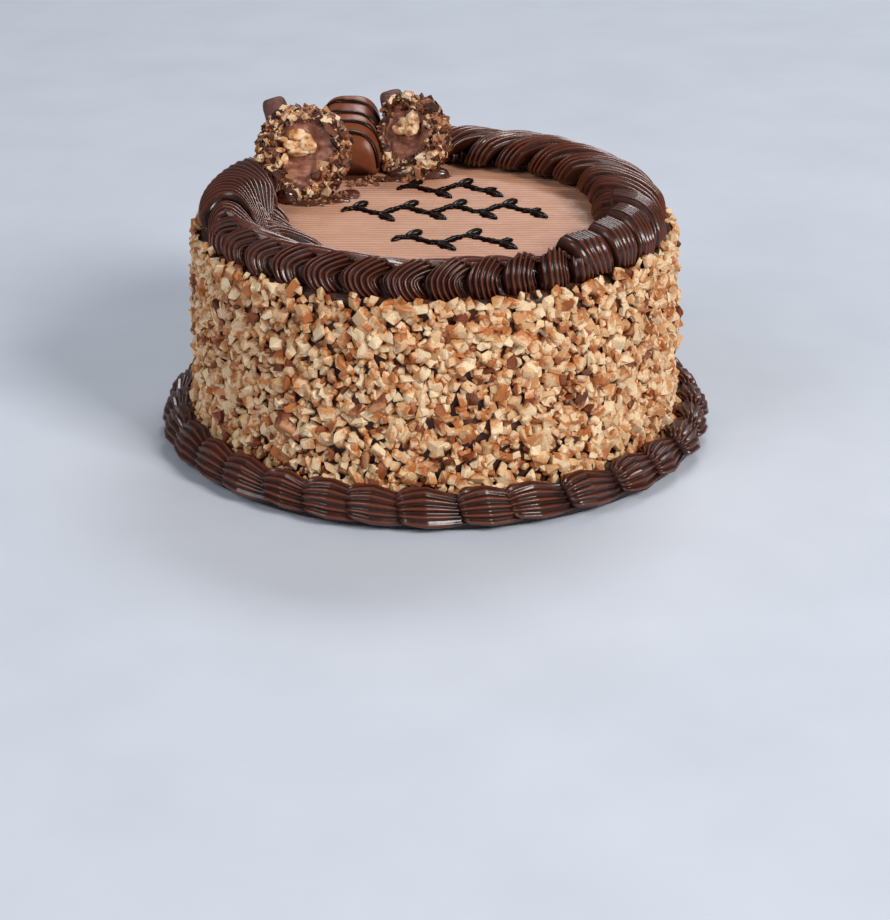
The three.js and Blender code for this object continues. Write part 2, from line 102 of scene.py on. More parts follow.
class Finish:
    """A named material and short calls that add and join its nodes."""

    def __init__(self, name, roughness, **sockets):
        self.material = bpy.data.materials.new(name)
        self.material.use_nodes = True
        self.nodes = self.material.node_tree.nodes
        self.links = self.material.node_tree.links
        self.shader = self.nodes["Principled BSDF"]
        self.shader.inputs["Roughness"].default_value = roughness
        for label, value in sockets.items():
            self.shader.inputs[label.replace("_", " ")].default_value = value
        self.place = self.nodes.new("ShaderNodeTexCoord").outputs["Object"]

    def join(self, source, target):
        """Links one node's output to another's input."""
        self.links.new(source, target)

    def noise(self, size_mm, detail=4.0, roughness=0.55, stretch=None):
        """Cloudy noise whose lumps are about size_mm across."""
        place = self.place
        if stretch is not None:
            mapping = self.nodes.new("ShaderNodeMapping")
            mapping.inputs["Scale"].default_value = stretch
            self.join(place, mapping.inputs["Vector"])
            place = mapping.outputs["Vector"]
        node = self.nodes.new("ShaderNodeTexNoise")
        node.inputs["Scale"].default_value = 1.0 / (size_mm * MM)
        node.inputs["Detail"].default_value = detail
        node.inputs["Roughness"].default_value = roughness
        self.join(place, node.inputs["Vector"])
        return node.outputs["Fac"]

    def attribute(self, label):
        """The value that the mesh carries at each point under that label."""
        node = self.nodes.new("ShaderNodeAttribute")
        node.attribute_name = label
        return node.outputs["Fac"]

    def ramp(self, value, *stops):
        """A colour ramp through (place, colour) stops. Three numbers are a screen colour, four are light."""
        node = self.nodes.new("ShaderNodeValToRGB")
        band = node.color_ramp
        while len(band.elements) < len(stops):
            band.elements.new(0.5)
        for element, (spot, tint) in zip(band.elements, stops):
            element.position = spot
            element.color = tint if len(tint) == 4 else linear(*tint)
        self.join(value, node.inputs["Fac"])
        return node.outputs["Color"]

    def band(self, value, low, high, out_low=0.0, out_high=1.0):
        """value stretched from low..high to out_low..out_high, held at the ends."""
        node = self.nodes.new("ShaderNodeMapRange")
        node.inputs["From Min"].default_value = low
        node.inputs["From Max"].default_value = high
        node.inputs["To Min"].default_value = out_low
        node.inputs["To Max"].default_value = out_high
        self.join(value, node.inputs["Value"])
        return node.outputs["Result"]

    def math(self, way, first, second):
        """Two values joined in the way named, such as ADD; either may be a number."""
        node = self.nodes.new("ShaderNodeMath")
        node.operation = way
        for socket, value in zip(node.inputs, (first, second)):
            if isinstance(value, (int, float)):
                socket.default_value = value
            else:
                self.join(value, socket)
        return node.outputs["Value"]

    def mix(self, share, first, second, way="MIX"):
        """Two colours mixed by share; share may be a number."""
        node = self.nodes.new("ShaderNodeMix")
        node.data_type = "RGBA"
        node.blend_type = way
        pairs = ((node.inputs[0], share), (node.inputs[6], first), (node.inputs[7], second))
        for socket, value in pairs:
            if isinstance(value, (int, float, tuple)):
                socket.default_value = value
            else:
                self.join(value, socket)
        return node.outputs[2]

    def colour(self, value):
        """Sets the surface's colour."""
        self.join(value, self.shader.inputs["Base Color"])

    def gloss(self, cloud, low, high):
        """Roughness from low to high along a cloud of noise."""
        self.join(self.band(cloud, 0.3, 0.7, low, high), self.shader.inputs["Roughness"])

    def bump(self, height, depth_mm, strength=1.0):
        """Raises the surface by height times depth_mm; a second call adds to the first."""
        node = self.nodes.new("ShaderNodeBump")
        node.inputs["Distance"].default_value = depth_mm * MM
        node.inputs["Strength"].default_value = strength
        self.join(height, node.inputs["Height"])
        normal = self.shader.inputs["Normal"]
        if normal.is_linked:
            self.join(normal.links[0].from_socket, node.inputs["Normal"])
        self.join(node.outputs["Normal"], normal)


def piping_finish():
    """Dark chocolate buttercream: glossy, with soft milky clouds; painted shade makes it near black in the
    grooves and painted light makes the ridge tops lighter.
    """
    f = Finish("dark_buttercream", 0.34, Specular_IOR_Level=0.28, Coat_Weight=0.36, Coat_Roughness=0.12)
    # Painted shade and light: the crest value runs from near black in the grooves and the gaps between shells
    # to lighter brown on the ridge tops.
    body = f.ramp(f.attribute("crest"), (0.0, (14, 4, 2)), (0.5, (54, 21, 10)), (1.0, (114, 58, 37)))
    cloud = f.ramp(f.noise(7.0), (0.35, (48, 17, 7)), (0.7, (92, 42, 22)))
    f.colour(f.mix(0.3, body, cloud))
    f.gloss(f.noise(2.4, 3.0), 0.24, 0.46)
    f.bump(f.noise(0.9, 3.0), 0.10, 0.5)
    f.bump(f.noise(3.5, 2.0), 0.35, 0.4)
    return f.material


def icing_finish():
    """Milk chocolate icing: satin, pinkish tan, with fine specks; painted shade makes it browner in the
    comb's grooves.
    """
    f = Finish("milk_icing", 0.48, Specular_IOR_Level=0.25)
    # Painted shade: the crest value is low in the comb's grooves, which come out browner.
    body = f.ramp(f.attribute("crest"), (0.0, (152, 98, 70)), (1.0, (202, 152, 125)))
    cloud = f.ramp(f.noise(14.0), (0.3, (184, 132, 105)), (0.75, (208, 160, 134)))
    mixed = f.mix(0.45, body, cloud)
    speck = f.band(f.noise(0.8, 2.0), 0.68, 0.74)
    f.colour(f.mix(speck, mixed, linear(140, 94, 70)))
    f.gloss(f.noise(3.0), 0.36, 0.52)
    f.bump(f.noise(0.5, 4.0), 0.06, 0.6)
    f.bump(f.noise(1.6, 2.0, stretch=(0.15, 1.0, 1.0)), 0.16, 0.6)
    return f.material


def vine_finish():
    """Near-black piping gel, wet and a little uneven."""
    f = Finish("vine_gel", 0.2, IOR=1.22, Specular_IOR_Level=0.4)
    f.colour(f.ramp(f.noise(3.0), (0.3, (8, 2, 1)), (0.8, (26, 9, 5))))
    f.gloss(f.noise(1.6), 0.14, 0.28)
    f.bump(f.noise(1.6, 2.0), 0.08, 0.4)
    return f.material


def core_finish():
    """Milk chocolate under the nuts: rough and smeared, in clouds from brown to near black; the near black is
    painted shade for the gaps between the nuts.
    """
    f = Finish("coating_under_nuts", 0.5)
    # Painted shade: the darkest stops stand for the shade in the gaps between the nuts; the lighter brown is
    # the coating's own colour.
    f.colour(f.ramp(f.noise(3.2, 5.0), (0.3, (28, 8, 2)), (0.52, (64, 26, 9)), (0.75, (106, 60, 36))))
    f.bump(f.noise(2.2, 5.0), 0.7, 0.8)
    return f.material


def nut_finish(name, pale, warm, toasted, skin):
    """Chopped hazelnut: pale cut faces, browner on the roasted side, with a fine oily grain."""
    f = Finish(name, 0.5, Specular_IOR_Level=0.38)
    grain = f.noise(1.1, 5.0, 0.6)
    flesh = f.ramp(f.attribute("shade"), (0.0, warm), (0.55, pale), (1.0, pale))
    roast = f.math("ADD", f.attribute("roast"), f.band(grain, 0.3, 0.7, -0.22, 0.22))
    brown = f.ramp(f.attribute("shade"), (0.0, skin), (0.5, toasted), (1.0, toasted))
    mixed = f.mix(f.band(roast, 0.42, 0.72), flesh, brown)
    dust = f.ramp(f.noise(0.45, 3.0), (0.35, (0.80, 0.77, 0.74, 1.0)), (0.6, (1.0, 1.0, 1.0, 1.0)))
    f.colour(f.mix(1.0, mixed, dust, "MULTIPLY"))
    f.gloss(grain, 0.42, 0.62)
    f.bump(grain, 0.16, 0.6)
    return f.material


def shell_chocolate_finish():
    """Moulded milk chocolate: smooth satin gloss, faint bloom and soft thumb marks."""
    f = Finish("wafer_bar_chocolate", 0.25, IOR=1.3, Specular_IOR_Level=0.45)
    f.colour(f.ramp(f.noise(9.0, 3.0), (0.3, (112, 56, 34)), (0.7, (138, 78, 50))))
    f.gloss(f.noise(5.0), 0.22, 0.36)
    f.bump(f.noise(4.0, 2.0), 0.25, 0.35)
    f.bump(f.noise(0.4, 2.0), 0.02, 0.5)
    return f.material


def stick_finish(name, dark, light, dust, share):
    """Rolled chocolate stick: matt, finely grained, with a dusting that share sets."""
    f = Finish(name, 0.58, Specular_IOR_Level=0.3)
    body = f.ramp(f.noise(1.8, 6.0, 0.65), (0.3, dark), (0.72, light))
    f.colour(f.mix(f.band(f.noise(0.55, 4.0, 0.7), 0.62 - share, 0.7), body, linear(*dust)))
    f.bump(f.noise(0.5, 5.0, 0.7), 0.14, 0.8)
    f.bump(f.noise(2.6, 2.0), 0.2, 0.5)
    return f.material


def cream_finish():
    """Cut praline cream: satin, lightly dragged by the knife."""
    f = Finish("praline_cream_cut", 0.45, Specular_IOR_Level=0.4)
    f.colour(f.ramp(f.noise(2.6, 5.0), (0.28, (112, 64, 47)), (0.55, (158, 104, 84)), (0.8, (180, 128, 107))))
    f.gloss(f.noise(2.0), 0.36, 0.6)
    f.bump(f.noise(1.2, 4.0), 0.3, 0.7)
    return f.material


def crust_finish():
    """Nutty praline crust: milk chocolate with pale nut and wafer grains on its crags, painted near black as
    shade in its hollows."""
    f = Finish("praline_crust_crumb", 0.36, Specular_IOR_Level=0.45)
    grain = f.noise(0.9, 6.0, 0.7)
    mixed = f.math("ADD", f.math("MULTIPLY", f.attribute("crag"), 0.55), f.math("MULTIPLY", grain, 0.5))
    # Painted shade: low crag values, in the hollows, go near black; the pale top stop is the nut and wafer
    # grains on the crags.
    stops = (0.35, (38, 13, 5)), (0.45, (100, 52, 30)), (0.55, (146, 90, 58)), (0.64, (228, 188, 148))
    f.colour(f.ramp(mixed, *stops))
    f.bump(grain, 0.6, 0.9)
    return f.material


def kernel_finish():
    """Broken hazelnut kernel: cream flesh with toasted patches and waxy grain."""
    f = Finish("hazelnut_kernel", 0.4, Specular_IOR_Level=0.42)
    patch = f.noise(3.4, 5.0, 0.6)
    stops = (0.33, (116, 56, 22)), (0.43, (208, 142, 86)), (0.54, (244, 206, 164)), (0.80, (248, 226, 194))
    f.colour(f.ramp(patch, *stops))
    f.gloss(patch, 0.32, 0.5)
    f.bump(f.noise(1.0, 5.0), 0.35, 0.7)
    return f.material


def ganache_finish():
    """Ganache: dark, wet and pooled."""
    f = Finish("ganache_gloss", 0.14, Specular_IOR_Level=0.5, Coat_Weight=0.3, Coat_Roughness=0.06)
    f.colour(f.ramp(f.noise(4.0), (0.3, (58, 27, 18)), (0.75, (96, 54, 38))))
    f.gloss(f.noise(2.6), 0.1, 0.28)
    f.bump(f.noise(2.2, 3.0), 0.3, 0.5)
    return f.material


def drizzle_finish():
    """Drizzle: dark chocolate, set and glossy."""
    f = Finish("dark_drizzle", 0.2, IOR=1.3, Specular_IOR_Level=0.5)
    f.colour(f.ramp(f.noise(3.0), (0.3, (26, 9, 4)), (0.8, (50, 21, 12))))
    f.gloss(f.noise(2.0), 0.2, 0.36)
    f.bump(f.noise(1.5, 2.0), 0.1, 0.4)
    return f.material


def floor_finish():
    """Pale matt table."""
    f = Finish("pale_table", 0.6, Specular_IOR_Level=0.2)
    f.colour(f.ramp(f.noise(60.0, 3.0), (0.3, (201, 206, 217)), (0.8, (209, 214, 225))))
    return f.material


# ---------------------------------------------------------------- shared surface making


def place_mesh(name, part, finish, slot, nodes=(), labels=(), crisp=None):
    """Puts a part into a mesh that rides on the cake: points in millimetres, triangles, and a column of
    values for each label."""
    points, faces, *columns = part
    mesh = bpy.data.meshes.new(name)
    count = len(faces)
    mesh.vertices.add(len(points))
    mesh.vertices.foreach_set("co", (np.asarray(points) * MM).astype(np.float32).ravel())
    mesh.loops.add(3 * count)
    mesh.loops.foreach_set("vertex_index", np.asarray(faces).astype(np.int32).ravel())
    mesh.polygons.add(count)
    mesh.polygons.foreach_set("loop_start", np.arange(0, 3 * count, 3, dtype=np.int32))
    mesh.polygons.foreach_set("use_smooth", np.ones(count, dtype=bool))
    for label, column in zip(labels, columns):
        layer = mesh.attributes.new(label, "FLOAT", "POINT")
        layer.data.foreach_set("value", np.asarray(column, dtype=np.float32).ravel())
    mesh.update(calc_edges=True)
    mesh.validate()
    if crisp is not None:
        mesh.set_sharp_from_angle(angle=math.radians(crisp))
    mesh.materials.append(finish)
    piece = bpy.data.objects.new(name, mesh)
    bpy.context.scene.collection.objects.link(piece)
    if slot is not None:
        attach(piece, "root")
    if nodes:
        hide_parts(*nodes)
    return piece


def loop_faces(rows, columns, joined=False):
    """Triangles of a grid whose columns close on themselves. Its rows either close as well, or each
    end is closed by a fan round one more point, which follows the grid's own points."""
    spans = rows if joined else rows - 1
    i = np.arange(spans)[:, None]
    j = np.arange(columns)[None, :]
    k = (j + 1) % columns
    below = i * columns
    above = ((i + 1) % rows) * columns
    first = np.stack([below + j, below + k, above + k], axis=-1).reshape(-1, 3)
    second = np.stack([below + j, above + k, above + j], axis=-1).reshape(-1, 3)
    if joined:
        return np.concatenate([first, second])
    around = np.arange(columns)
    onward = (around + 1) % columns
    start = np.stack([np.full(columns, rows * columns), onward, around], axis=-1)
    shift = (rows - 1) * columns
    end = np.stack([np.full(columns, rows * columns + 1), around + shift, onward + shift], axis=-1)
    return np.concatenate([first, second, start, end])


def close_ends(grid):
    """A grid of sections as one list of points, followed by the middles of its first and last section."""
    flat = grid.reshape(-1, 3)
    return np.concatenate([flat, grid[:1].mean(axis=1), grid[-1:].mean(axis=1)])


def outward(points, faces):
    """The faces, turned round if they enclose a negative volume."""
    a, b, c = (points[faces[:, k]] for k in range(3))
    volume = np.einsum("ij,ij->i", a, np.cross(b, c)).sum()
    return faces if volume > 0 else faces[:, ::-1]


def as_part(points, rows, columns, values=None, end_value=0.0):
    """A closed part: the points that close_ends gives, outward faces, and a value for each point."""
    faces = outward(points, loop_faces(rows, columns))
    values = np.zeros(rows * columns) if values is None else np.ravel(values)
    return points, faces, np.concatenate([values, [end_value, end_value]])


def gather(parts):
    """Several (points, faces, value) parts as one."""
    points = np.concatenate([part[0] for part in parts])
    starts = np.cumsum([0] + [len(part[0]) for part in parts[:-1]])
    faces = np.concatenate([part[1] + start for part, start in zip(parts, starts)])
    return points, faces, np.concatenate([part[2] for part in parts])


def unit(vectors):
    """The vectors, each divided by its own length."""
    return vectors / np.linalg.norm(vectors, axis=-1, keepdims=True)


def at_turn(radius, turn, height):
    """Points at a radius, a turn about Z and a height."""
    return np.stack(np.broadcast_arrays(radius * np.cos(turn), radius * np.sin(turn), height), axis=-1)


def even_turns(count):
    """Angles an even step apart, once round."""
    return np.linspace(0.0, TAU, count, endpoint=False)


def spun(radius, height, columns):
    """A profile turned about Z, as a list of points: radius and height run along the profile."""
    return at_turn(radius[:, None], even_turns(columns), height[:, None]).reshape(-1, 3)


POLE_GAP = 0.03


def spun_ball(rows, columns):
    """Ways out of a ball's middle, from one pole to the other."""
    polar = np.linspace(POLE_GAP, math.pi - POLE_GAP, rows)
    return spun(np.sin(polar), np.cos(polar), columns)


def bezier(t, first, second, third, last):
    """A cubic Bezier curve: its four controls, each weighted by its cubic share of t."""
    return (1 - t) ** 3 * first + 3 * t * (1 - t) ** 2 * second + 3 * t**2 * (1 - t) * third + t**3 * last


def quarter(x):
    """Fall of a quarter circle: 0 at 0, 1 at 1."""
    return 1 - np.sqrt(1 - x**2)


def bell(x, width):
    """A bell of that width: 1 at 0."""
    return np.exp(-((x / width) ** 2))


def smooth_line(controls, count):
    """count points on a Catmull-Rom curve through the controls, evenly by control number."""
    controls = np.asarray(controls, dtype=float)
    padded = np.vstack([2 * controls[0] - controls[1], controls, 2 * controls[-1] - controls[-2]])
    spot = np.linspace(0, len(controls) - 1 - 1e-9, count)
    cell = spot.astype(int)
    t = (spot - cell)[:, None]
    p0, p1, p2, p3 = (padded[cell + k] for k in range(4))
    return 0.5 * (
        2 * p1
        + (p2 - p0) * t
        + (2 * p0 - 5 * p1 + 4 * p2 - p3) * t**2
        + (3 * p1 - p0 - 3 * p2 + p3) * t**3
    )


LATTICE = 32


def lattice_noise(points, pitch, seed):
    """Smooth noise from 0 to 1: random values on a cubic lattice of that pitch, blended between its
    corners."""
    values = np.random.default_rng(seed).random((LATTICE, LATTICE, LATTICE))
    spot = points / pitch + 1000.0
    cell = np.floor(spot).astype(int)
    t = spot - cell
    t = t * t * (3 - 2 * t)
    total = np.zeros(len(points))
    for corner in range(8):
        bits = np.array([corner & 1, (corner >> 1) & 1, (corner >> 2) & 1])
        x, y, z = ((cell + bits) % LATTICE).T
        total += np.prod(np.where(bits, t, 1 - t), axis=-1) * values[x, y, z]
    return total


# ---------------------------------------------------------------- piped borders


class Arch:
    """A border's cross section: radius = middle - half * cos(turn), height = base + rise * bow, where bow is
    sin(turn) ** fullness for turn from 0 at the inner foot to pi at the outer foot. A low arch's bow is
    multiplied by a share that climbs evenly across it, held between its least and its crest."""

    def __init__(self, middle, half, inner_base, outer_base, rise, fullness, low=None):
        turn = np.linspace(0.0, math.pi, 721)
        bow = np.clip(np.sin(turn), 0.0, 1.0) ** fullness
        if low is not None:
            bow = bow * np.clip(low["tail"] + low["climb"] * turn / math.pi, low["least"], low["crest"])
        base = inner_base + (outer_base - inner_base) * (0.5 - 0.5 * np.cos(turn))
        radius = middle - half * np.cos(turn)
        height = base + rise * bow
        step_r = np.gradient(radius)
        step_z = np.gradient(height)
        size = np.hypot(step_r, step_z) + 1e-9
        run = np.concatenate([[0.0], np.cumsum(np.hypot(np.diff(radius), np.diff(height)))])
        self.length = run[-1]
        self.share = run / self.length
        self.columns = (radius, height, -step_z / size, step_r / size)

    def at(self, share):
        """Radius, height and outward way (two parts) at a share of the length over the arch."""
        return [np.interp(share, self.share, column) for column in self.columns]


FRONT_MIDDLE = 270.0
FRONT_REACH = 90.0
FRONT_FADE = 35.0


class Ring:
    """A border's whole ring: one arch all round, or a low arch across the front that fades into the
    high one."""

    def __init__(self, high, low=None):
        self.high = high
        self.low = low
        self.length = high.length

    def at(self, over, lift, degrees):
        """Radius and height at millimetres over the arch, lifted off it, and the radius without the lift."""
        share = np.clip(over / self.length, 0.0, 1.0)
        r, z, a, b = self.high.at(share)
        if self.low is not None:
            away = (degrees - FRONT_MIDDLE) % 360.0
            away = np.abs(away - 360.0 * (away > 180.0))
            fade = np.clip((FRONT_REACH - away) / FRONT_FADE, 0.0, 1.0)
            pairs = zip((r, z, a, b), self.low.at(share))
            r, z, a, b = (one + (two - one) * fade for one, two in pairs)
        return r + a * lift, z + b * lift, r


TEETH_SAMPLES = 6
UNDERSIDE = (0.82, 0.5, 0.18)
UNDER_DEPTH = 0.8
LOBE_STATIONS = 60
LOAF_STATIONS = 48
SWEPT_STATIONS = 70


def across_samples(teeth):
    """Even places across a shell, from its older edge at 0 to its far edge at 1."""
    return np.linspace(0.0, 1.0, teeth * TEETH_SAMPLES + 1)


def ridge_comb(across, teeth):
    """Ridges of a star tip: a raised cosine for each tooth, a little pinched at its top."""
    return (0.5 - 0.5 * np.cos(TAU * teeth * across)) ** 1.15


def uneven_teeth(depth, spread, across, teeth, rng):
    """The ridges' depth, a little different for each tooth."""
    strength = 1.0 + spread * rng.standard_normal(teeth + 1)
    return depth * strength[np.minimum((teeth * across).astype(int), teeth)]


def shell_skin(ring, angle, ahead, over, lift, crest):
    """A shell from grids of millimetres ahead round the ring and over its arch, lifted by lift. It is closed
    underneath by columns that lie deeper than any of its own."""
    stations, count = ahead.shape
    under = (np.array(UNDERSIDE) * (count - 1)).astype(int)
    deep = np.repeat(lift.min(axis=1, keepdims=True) - UNDER_DEPTH, len(under), axis=1)
    ahead, over = (np.concatenate([grid, grid[:, under]], axis=1) for grid in (ahead, over))
    lift = np.concatenate([lift, deep], axis=1)
    crest = np.concatenate([crest, 0 * deep], axis=1)
    near = ring.at(over, 0.0, np.full(over.shape, float(angle)))[2]
    degrees = angle + np.degrees(ahead / near)
    radius, height, _ = ring.at(over, lift, degrees)
    points = close_ends(at_turn(radius, np.radians(degrees), height))
    return as_part(points, stations, count + len(under), crest)


def lobe(ring, angle, pitch, curve, teeth, rng, rise=0.0):
    """One pressed shell. Its older edge runs over the arch as ahead = bend * (sqrt(x * x + soft * soft) -
    soft), x being the millimetres from the place lead. Each ridge is such a line as well, an even step
    further ahead and with a tighter turn. Across the shell, measured in shares of the way to the next
    shell's edge, the height rises like a quarter circle, stays up and then falls off, most of all in the
    eye beside lead; the ridges come on top of that. The crest value sinks in the gap between two shells to
    paint shade there."""
    across = across_samples(teeth)[None, :]
    share = np.linspace(0.0, 1.0, LOBE_STATIONS)[:, None]
    lead = curve["lead"] + curve["drift"] * across
    x = (lead - share) * ring.length
    bend = np.where(x > 0, curve["bend"], curve["heel"]) * rng.uniform(0.95, 1.05)
    soft = curve["soft"] * (1.0 - curve["tighten"] * across)
    sway = 0.5 * np.sin(TAU * (share * 1.1 + rng.random())) * rng.random()
    ahead = bend * (np.sqrt(x**2 + soft**2) - soft) + sway + curve["width"] * across
    over = share * ring.length + 0 * across
    step = math.radians(pitch) * ring.at(over[:, :1], 0.0, 0 * share + float(angle))[2]
    t = (ahead - ahead[:, :1]) / step
    lip = np.clip(1.0 - t / curve["lip"], 0.0, 1.0)
    slope = np.clip((t - curve["lip"]) / (1.0 - curve["lip"]), 0.0, 1.6) ** curve["curl"]
    eye = curve["eye"] * bell(share - lead, 0.13) * np.clip(t - 0.35, 0.0, 1.0)
    comb = ridge_comb(across, teeth)
    depth = uneven_teeth(curve["depth"], 0.2, across, teeth, rng)
    ends = curve["sink"] * (bell(share, 0.05) + bell(1 - share, 0.04))
    swell = 0.4 * np.sin(TAU * (share * 1.3 + rng.random())) * rng.random()
    lift = rise - curve["drop"] * quarter(lip) - curve["fall"] * slope - eye
    lift = lift + depth * (comb - 1.0) - ends + swell
    # Painted shade: the crest value, and with it the colour, darkens in the gap between this shell and the
    # next.
    gap = np.clip(0.15 + t / 0.14, 0.0, 1.0) * np.clip((1.06 - t) / 0.3, 0.2, 1.0)
    return shell_skin(ring, angle, ahead, over, lift, comb * gap)


def loaf(ring, angle, teeth, rng):
    """One shell of the foot. Its ridges are Bezier curves that start one above the other on the shell's
    rounded left end, swell out over the arch and draw together in the tail. The height jumps up at the left
    end, sinks again towards the tail, and rounds off at the first ridge. The crest value sinks at both
    ends to paint shade where the shell meets its neighbours."""
    u = np.linspace(0.0, 1.0, LOAF_STATIONS)[:, None]
    across = across_samples(teeth)[None, :]
    size = rng.uniform(0.94, 1.08)
    alpha = np.radians(np.interp(across, (0.0, 0.5, 1.0), LOAF_WAYS) + rng.normal(0.0, 4.0))
    way = np.stack([np.cos(alpha), -np.sin(alpha)], axis=-1)
    head_line = 2.4 - 4.0 * np.sin(np.pi * (0.12 + 0.76 * across))
    first = np.stack([head_line, 11.5 + 16.5 * across], axis=-1) + rng.normal(0.0, 0.3, 2)
    second = first + way * ((9.5 - 4.0 * across) * size)[..., None]
    third = np.stack([(12.0 + 4.0 * across) * size, 1.5 + 29.5 * across], axis=-1)
    last = np.stack([25.5 * size + 0 * across, 12.0 + 17.5 * across], axis=-1)
    line = bezier(u[..., None], first, second, third, last)
    over = np.clip(line[..., 1], 0.4, ring.length - 0.3)
    comb = ridge_comb(across, teeth)
    depth = uneven_teeth(LOAF_DEPTH, 0.18, across, teeth, rng)
    lip = np.clip(1.0 - across / 0.12, 0.0, 1.0)
    head = np.clip(1.0 - u / 0.17, 0.0, 1.0)
    rise = np.interp(u, *zip(*LOAF_RISES)) - 3.8 * quarter(head)
    lift = rise - 2.6 * quarter(lip) + depth * (comb - 1.0) + rng.normal(-0.1, 0.2)
    # Painted shade: the crest value, and with it the colour, darkens at the head and in the tail that runs
    # under the next head.
    gap = np.clip(0.2 + u / 0.08, 0.0, 1.0) * np.clip((0.8 - u) / 0.16, 0.2, 1.0)
    return shell_skin(ring, angle, line[..., 0], over, lift, comb * gap)


def swept(ring, controls, teeth, rises, edge, depth, rng):
    """Ridges that fan out or draw together. Each ridge is a Bezier curve over the arch, in degrees and shares
    of its length; its four controls come from a parabola through the first, middle and last ridge's. The
    height follows rises along the ridges and rounds off at both edges, edge being its share and depth. The
    ridges are never deeper than they are wide, and the crest value sinks towards both edges to paint
    shade into the seams between strands."""
    across = across_samples(teeth)
    a = across[:, None, None]
    near, middle, far = (np.array(row, dtype=float) for row in controls)
    spots = 2 * (a - 0.5) * (a - 1) * near + 4 * a * (1 - a) * middle + 2 * a * (a - 0.5) * far
    t = np.linspace(0.0, 1.0, SWEPT_STATIONS)[:, None, None]
    line = bezier(t, *(spots[None, :, k] for k in range(4)))
    over = line[..., 1] * ring.length
    ahead = np.radians(line[..., 0]) * ring.at(over, 0.0, line[..., 0])[2]
    along_x, side_x = np.gradient(ahead)
    along_y, side_y = np.gradient(over)
    gap = np.abs(along_x * side_y - along_y * side_x) / (np.hypot(along_x, along_y) + 1e-6) * TEETH_SAMPLES
    tall = uneven_teeth(depth, 0.15, across, teeth, rng)
    comb = ridge_comb(across, teeth)[None, :]
    share = t[..., 0]
    round_off = np.clip(1.0 - np.minimum(across, 1.0 - across) / edge[0], 0.0, 1.0)[None, :]
    lift = np.interp(share, *zip(*rises)) - edge[1] * quarter(round_off)
    lift = lift + np.minimum(tall, 0.8 * gap) * (comb - 1.0)
    lift = lift + 0.25 * np.sin(TAU * (share * 1.7 + rng.random())) * np.sin(math.pi * across)
    # Painted shade: the crest value, and with it the colour, darkens towards both edges, in the seams between
    # strands.
    return shell_skin(ring, 0.0, ahead, over, lift, comb * (1.0 - 0.6 * round_off**1.5) + 0 * lift)


def buried_ring(ring, depths, ridges, sections, around):
    """The ring inside a border, which closes any gap between its shells. Its three depths are for the sides
    and back, for the front, and for the outer side of the back. Its slanted ridges are raised cosines of
    degrees plus RING_LEAN times the share over."""
    depth, front_depth, outer_depth = depths
    share = np.linspace(0.04, 0.985, around)[None, :] * np.ones((sections, 1))
    turn = even_turns(sections)[:, None] * np.ones((1, around))
    comb = ridge_comb((np.degrees(turn) + RING_LEAN * share) / 360.0, ridges)
    front = np.clip(0.6 - 1.6 * np.sin(turn), 0.0, 1.0)
    outer = np.clip((share - 0.56) / 0.2, 0.0, 1.0) * (1.0 - front)
    deep = depth + (front_depth - depth) * front + (outer_depth - depth) * outer
    radius, height, _ = ring.at(share * ring.length, RING_DEPTH * (comb - 1.0) - deep, np.degrees(turn))
    points = at_turn(radius, turn, height).reshape(-1, 3)
    # Painted shade: the crest value is cut to 0.7, so the ring shows darker where it fills the gaps between
    # shells.
    return points, outward(points, loop_faces(sections, around, joined=True)), 0.7 * comb.ravel()


RING_LEAN = 50.0
RING_RIDGES = 128
RING_DEPTH = 1.1
TOP_BURIED = (5.4, 6.6, 1.2)
BOTTOM_BURIED = (2.5, 2.5, 2.5)
TOP_SHAPE = {
    "middle": 66.1, "half": 13.7, "inner_base": 74.5, "outer_base": 72.4, "rise": 13.2, "fullness": 0.75,
}
TOP_LOW = {"tail": -0.5, "climb": 2.2, "least": 0.05, "crest": 1.02}
TOP_RING = Ring(Arch(**TOP_SHAPE), Arch(**TOP_SHAPE, low=TOP_LOW))
STROKE_ANGLES = (144.0, 151.0, 158.0, 166.0)
FRONT_ANGLES = (
    *STROKE_ANGLES, 176.0, 188.0,
    198.4, 208.2, 217.8, 227.5, 237.1, 247.2, 257.4, 267.5, 277.3, 286.3, 295.6, 304.6, 314.0,
)
FRONT_LOOK = {
    "drift": 0.02, "width": 16.5, "lip": 0.34, "curl": 2.0, "drop": 5.4, "fall": 4.8, "eye": 1.2,
    "depth": 1.35, "sink": 0.8, "tighten": 0.5,
}
FRONT_CHANGES = {
    "lead": ((166.0, 176.0, 188.0, 198.4), (0.9, 0.6, 0.7, 0.83)),
    "bend": ((166, 198, 257, 267, 277, 286, 296), (1.0, 1.4, 1.35, 1.1, 0.85, 0.6, 0.5)),
    "heel": ((166, 176, 188, 198, 257, 277, 296), (0.5, 1.1, 1.0, 0.8, 0.8, 0.4, 0.15)),
    "soft": ((166, 176, 198, 257, 277, 296), (3.5, 7.0, 5.5, 6.0, 8.0, 10.0)),
}
HIGH_RING = Ring(Arch(**TOP_SHAPE))
SWIRL_LINES = (
    ((152.0, 0.74), (163.0, 0.22), (190.0, 0.0), (205.0, 0.2)),
    ((172.0, 0.88), (170.0, 0.46), (190.0, 0.24), (204.0, 0.28)),
    ((196.0, 0.9), (184.0, 0.62), (187.5, 0.38), (202.0, 0.35)),
)
SWIRL_RISES = ((0.0, -0.2), (0.1, 1.0), (0.5, 1.2), (0.78, 0.0), (1.0, -3.4))
EYE_LINES = (
    ((199.0, 0.88), (189.0, 0.68), (188.5, 0.46), (201.0, 0.38)),
    ((201.5, 0.86), (193.5, 0.7), (192.5, 0.54), (202.0, 0.43)),
    ((204.0, 0.84), (198.0, 0.74), (197.0, 0.62), (204.0, 0.5)),
)
EYE_RISES = ((0.0, -0.6), (0.3, 0.2), (0.7, 0.2), (1.0, -1.4))
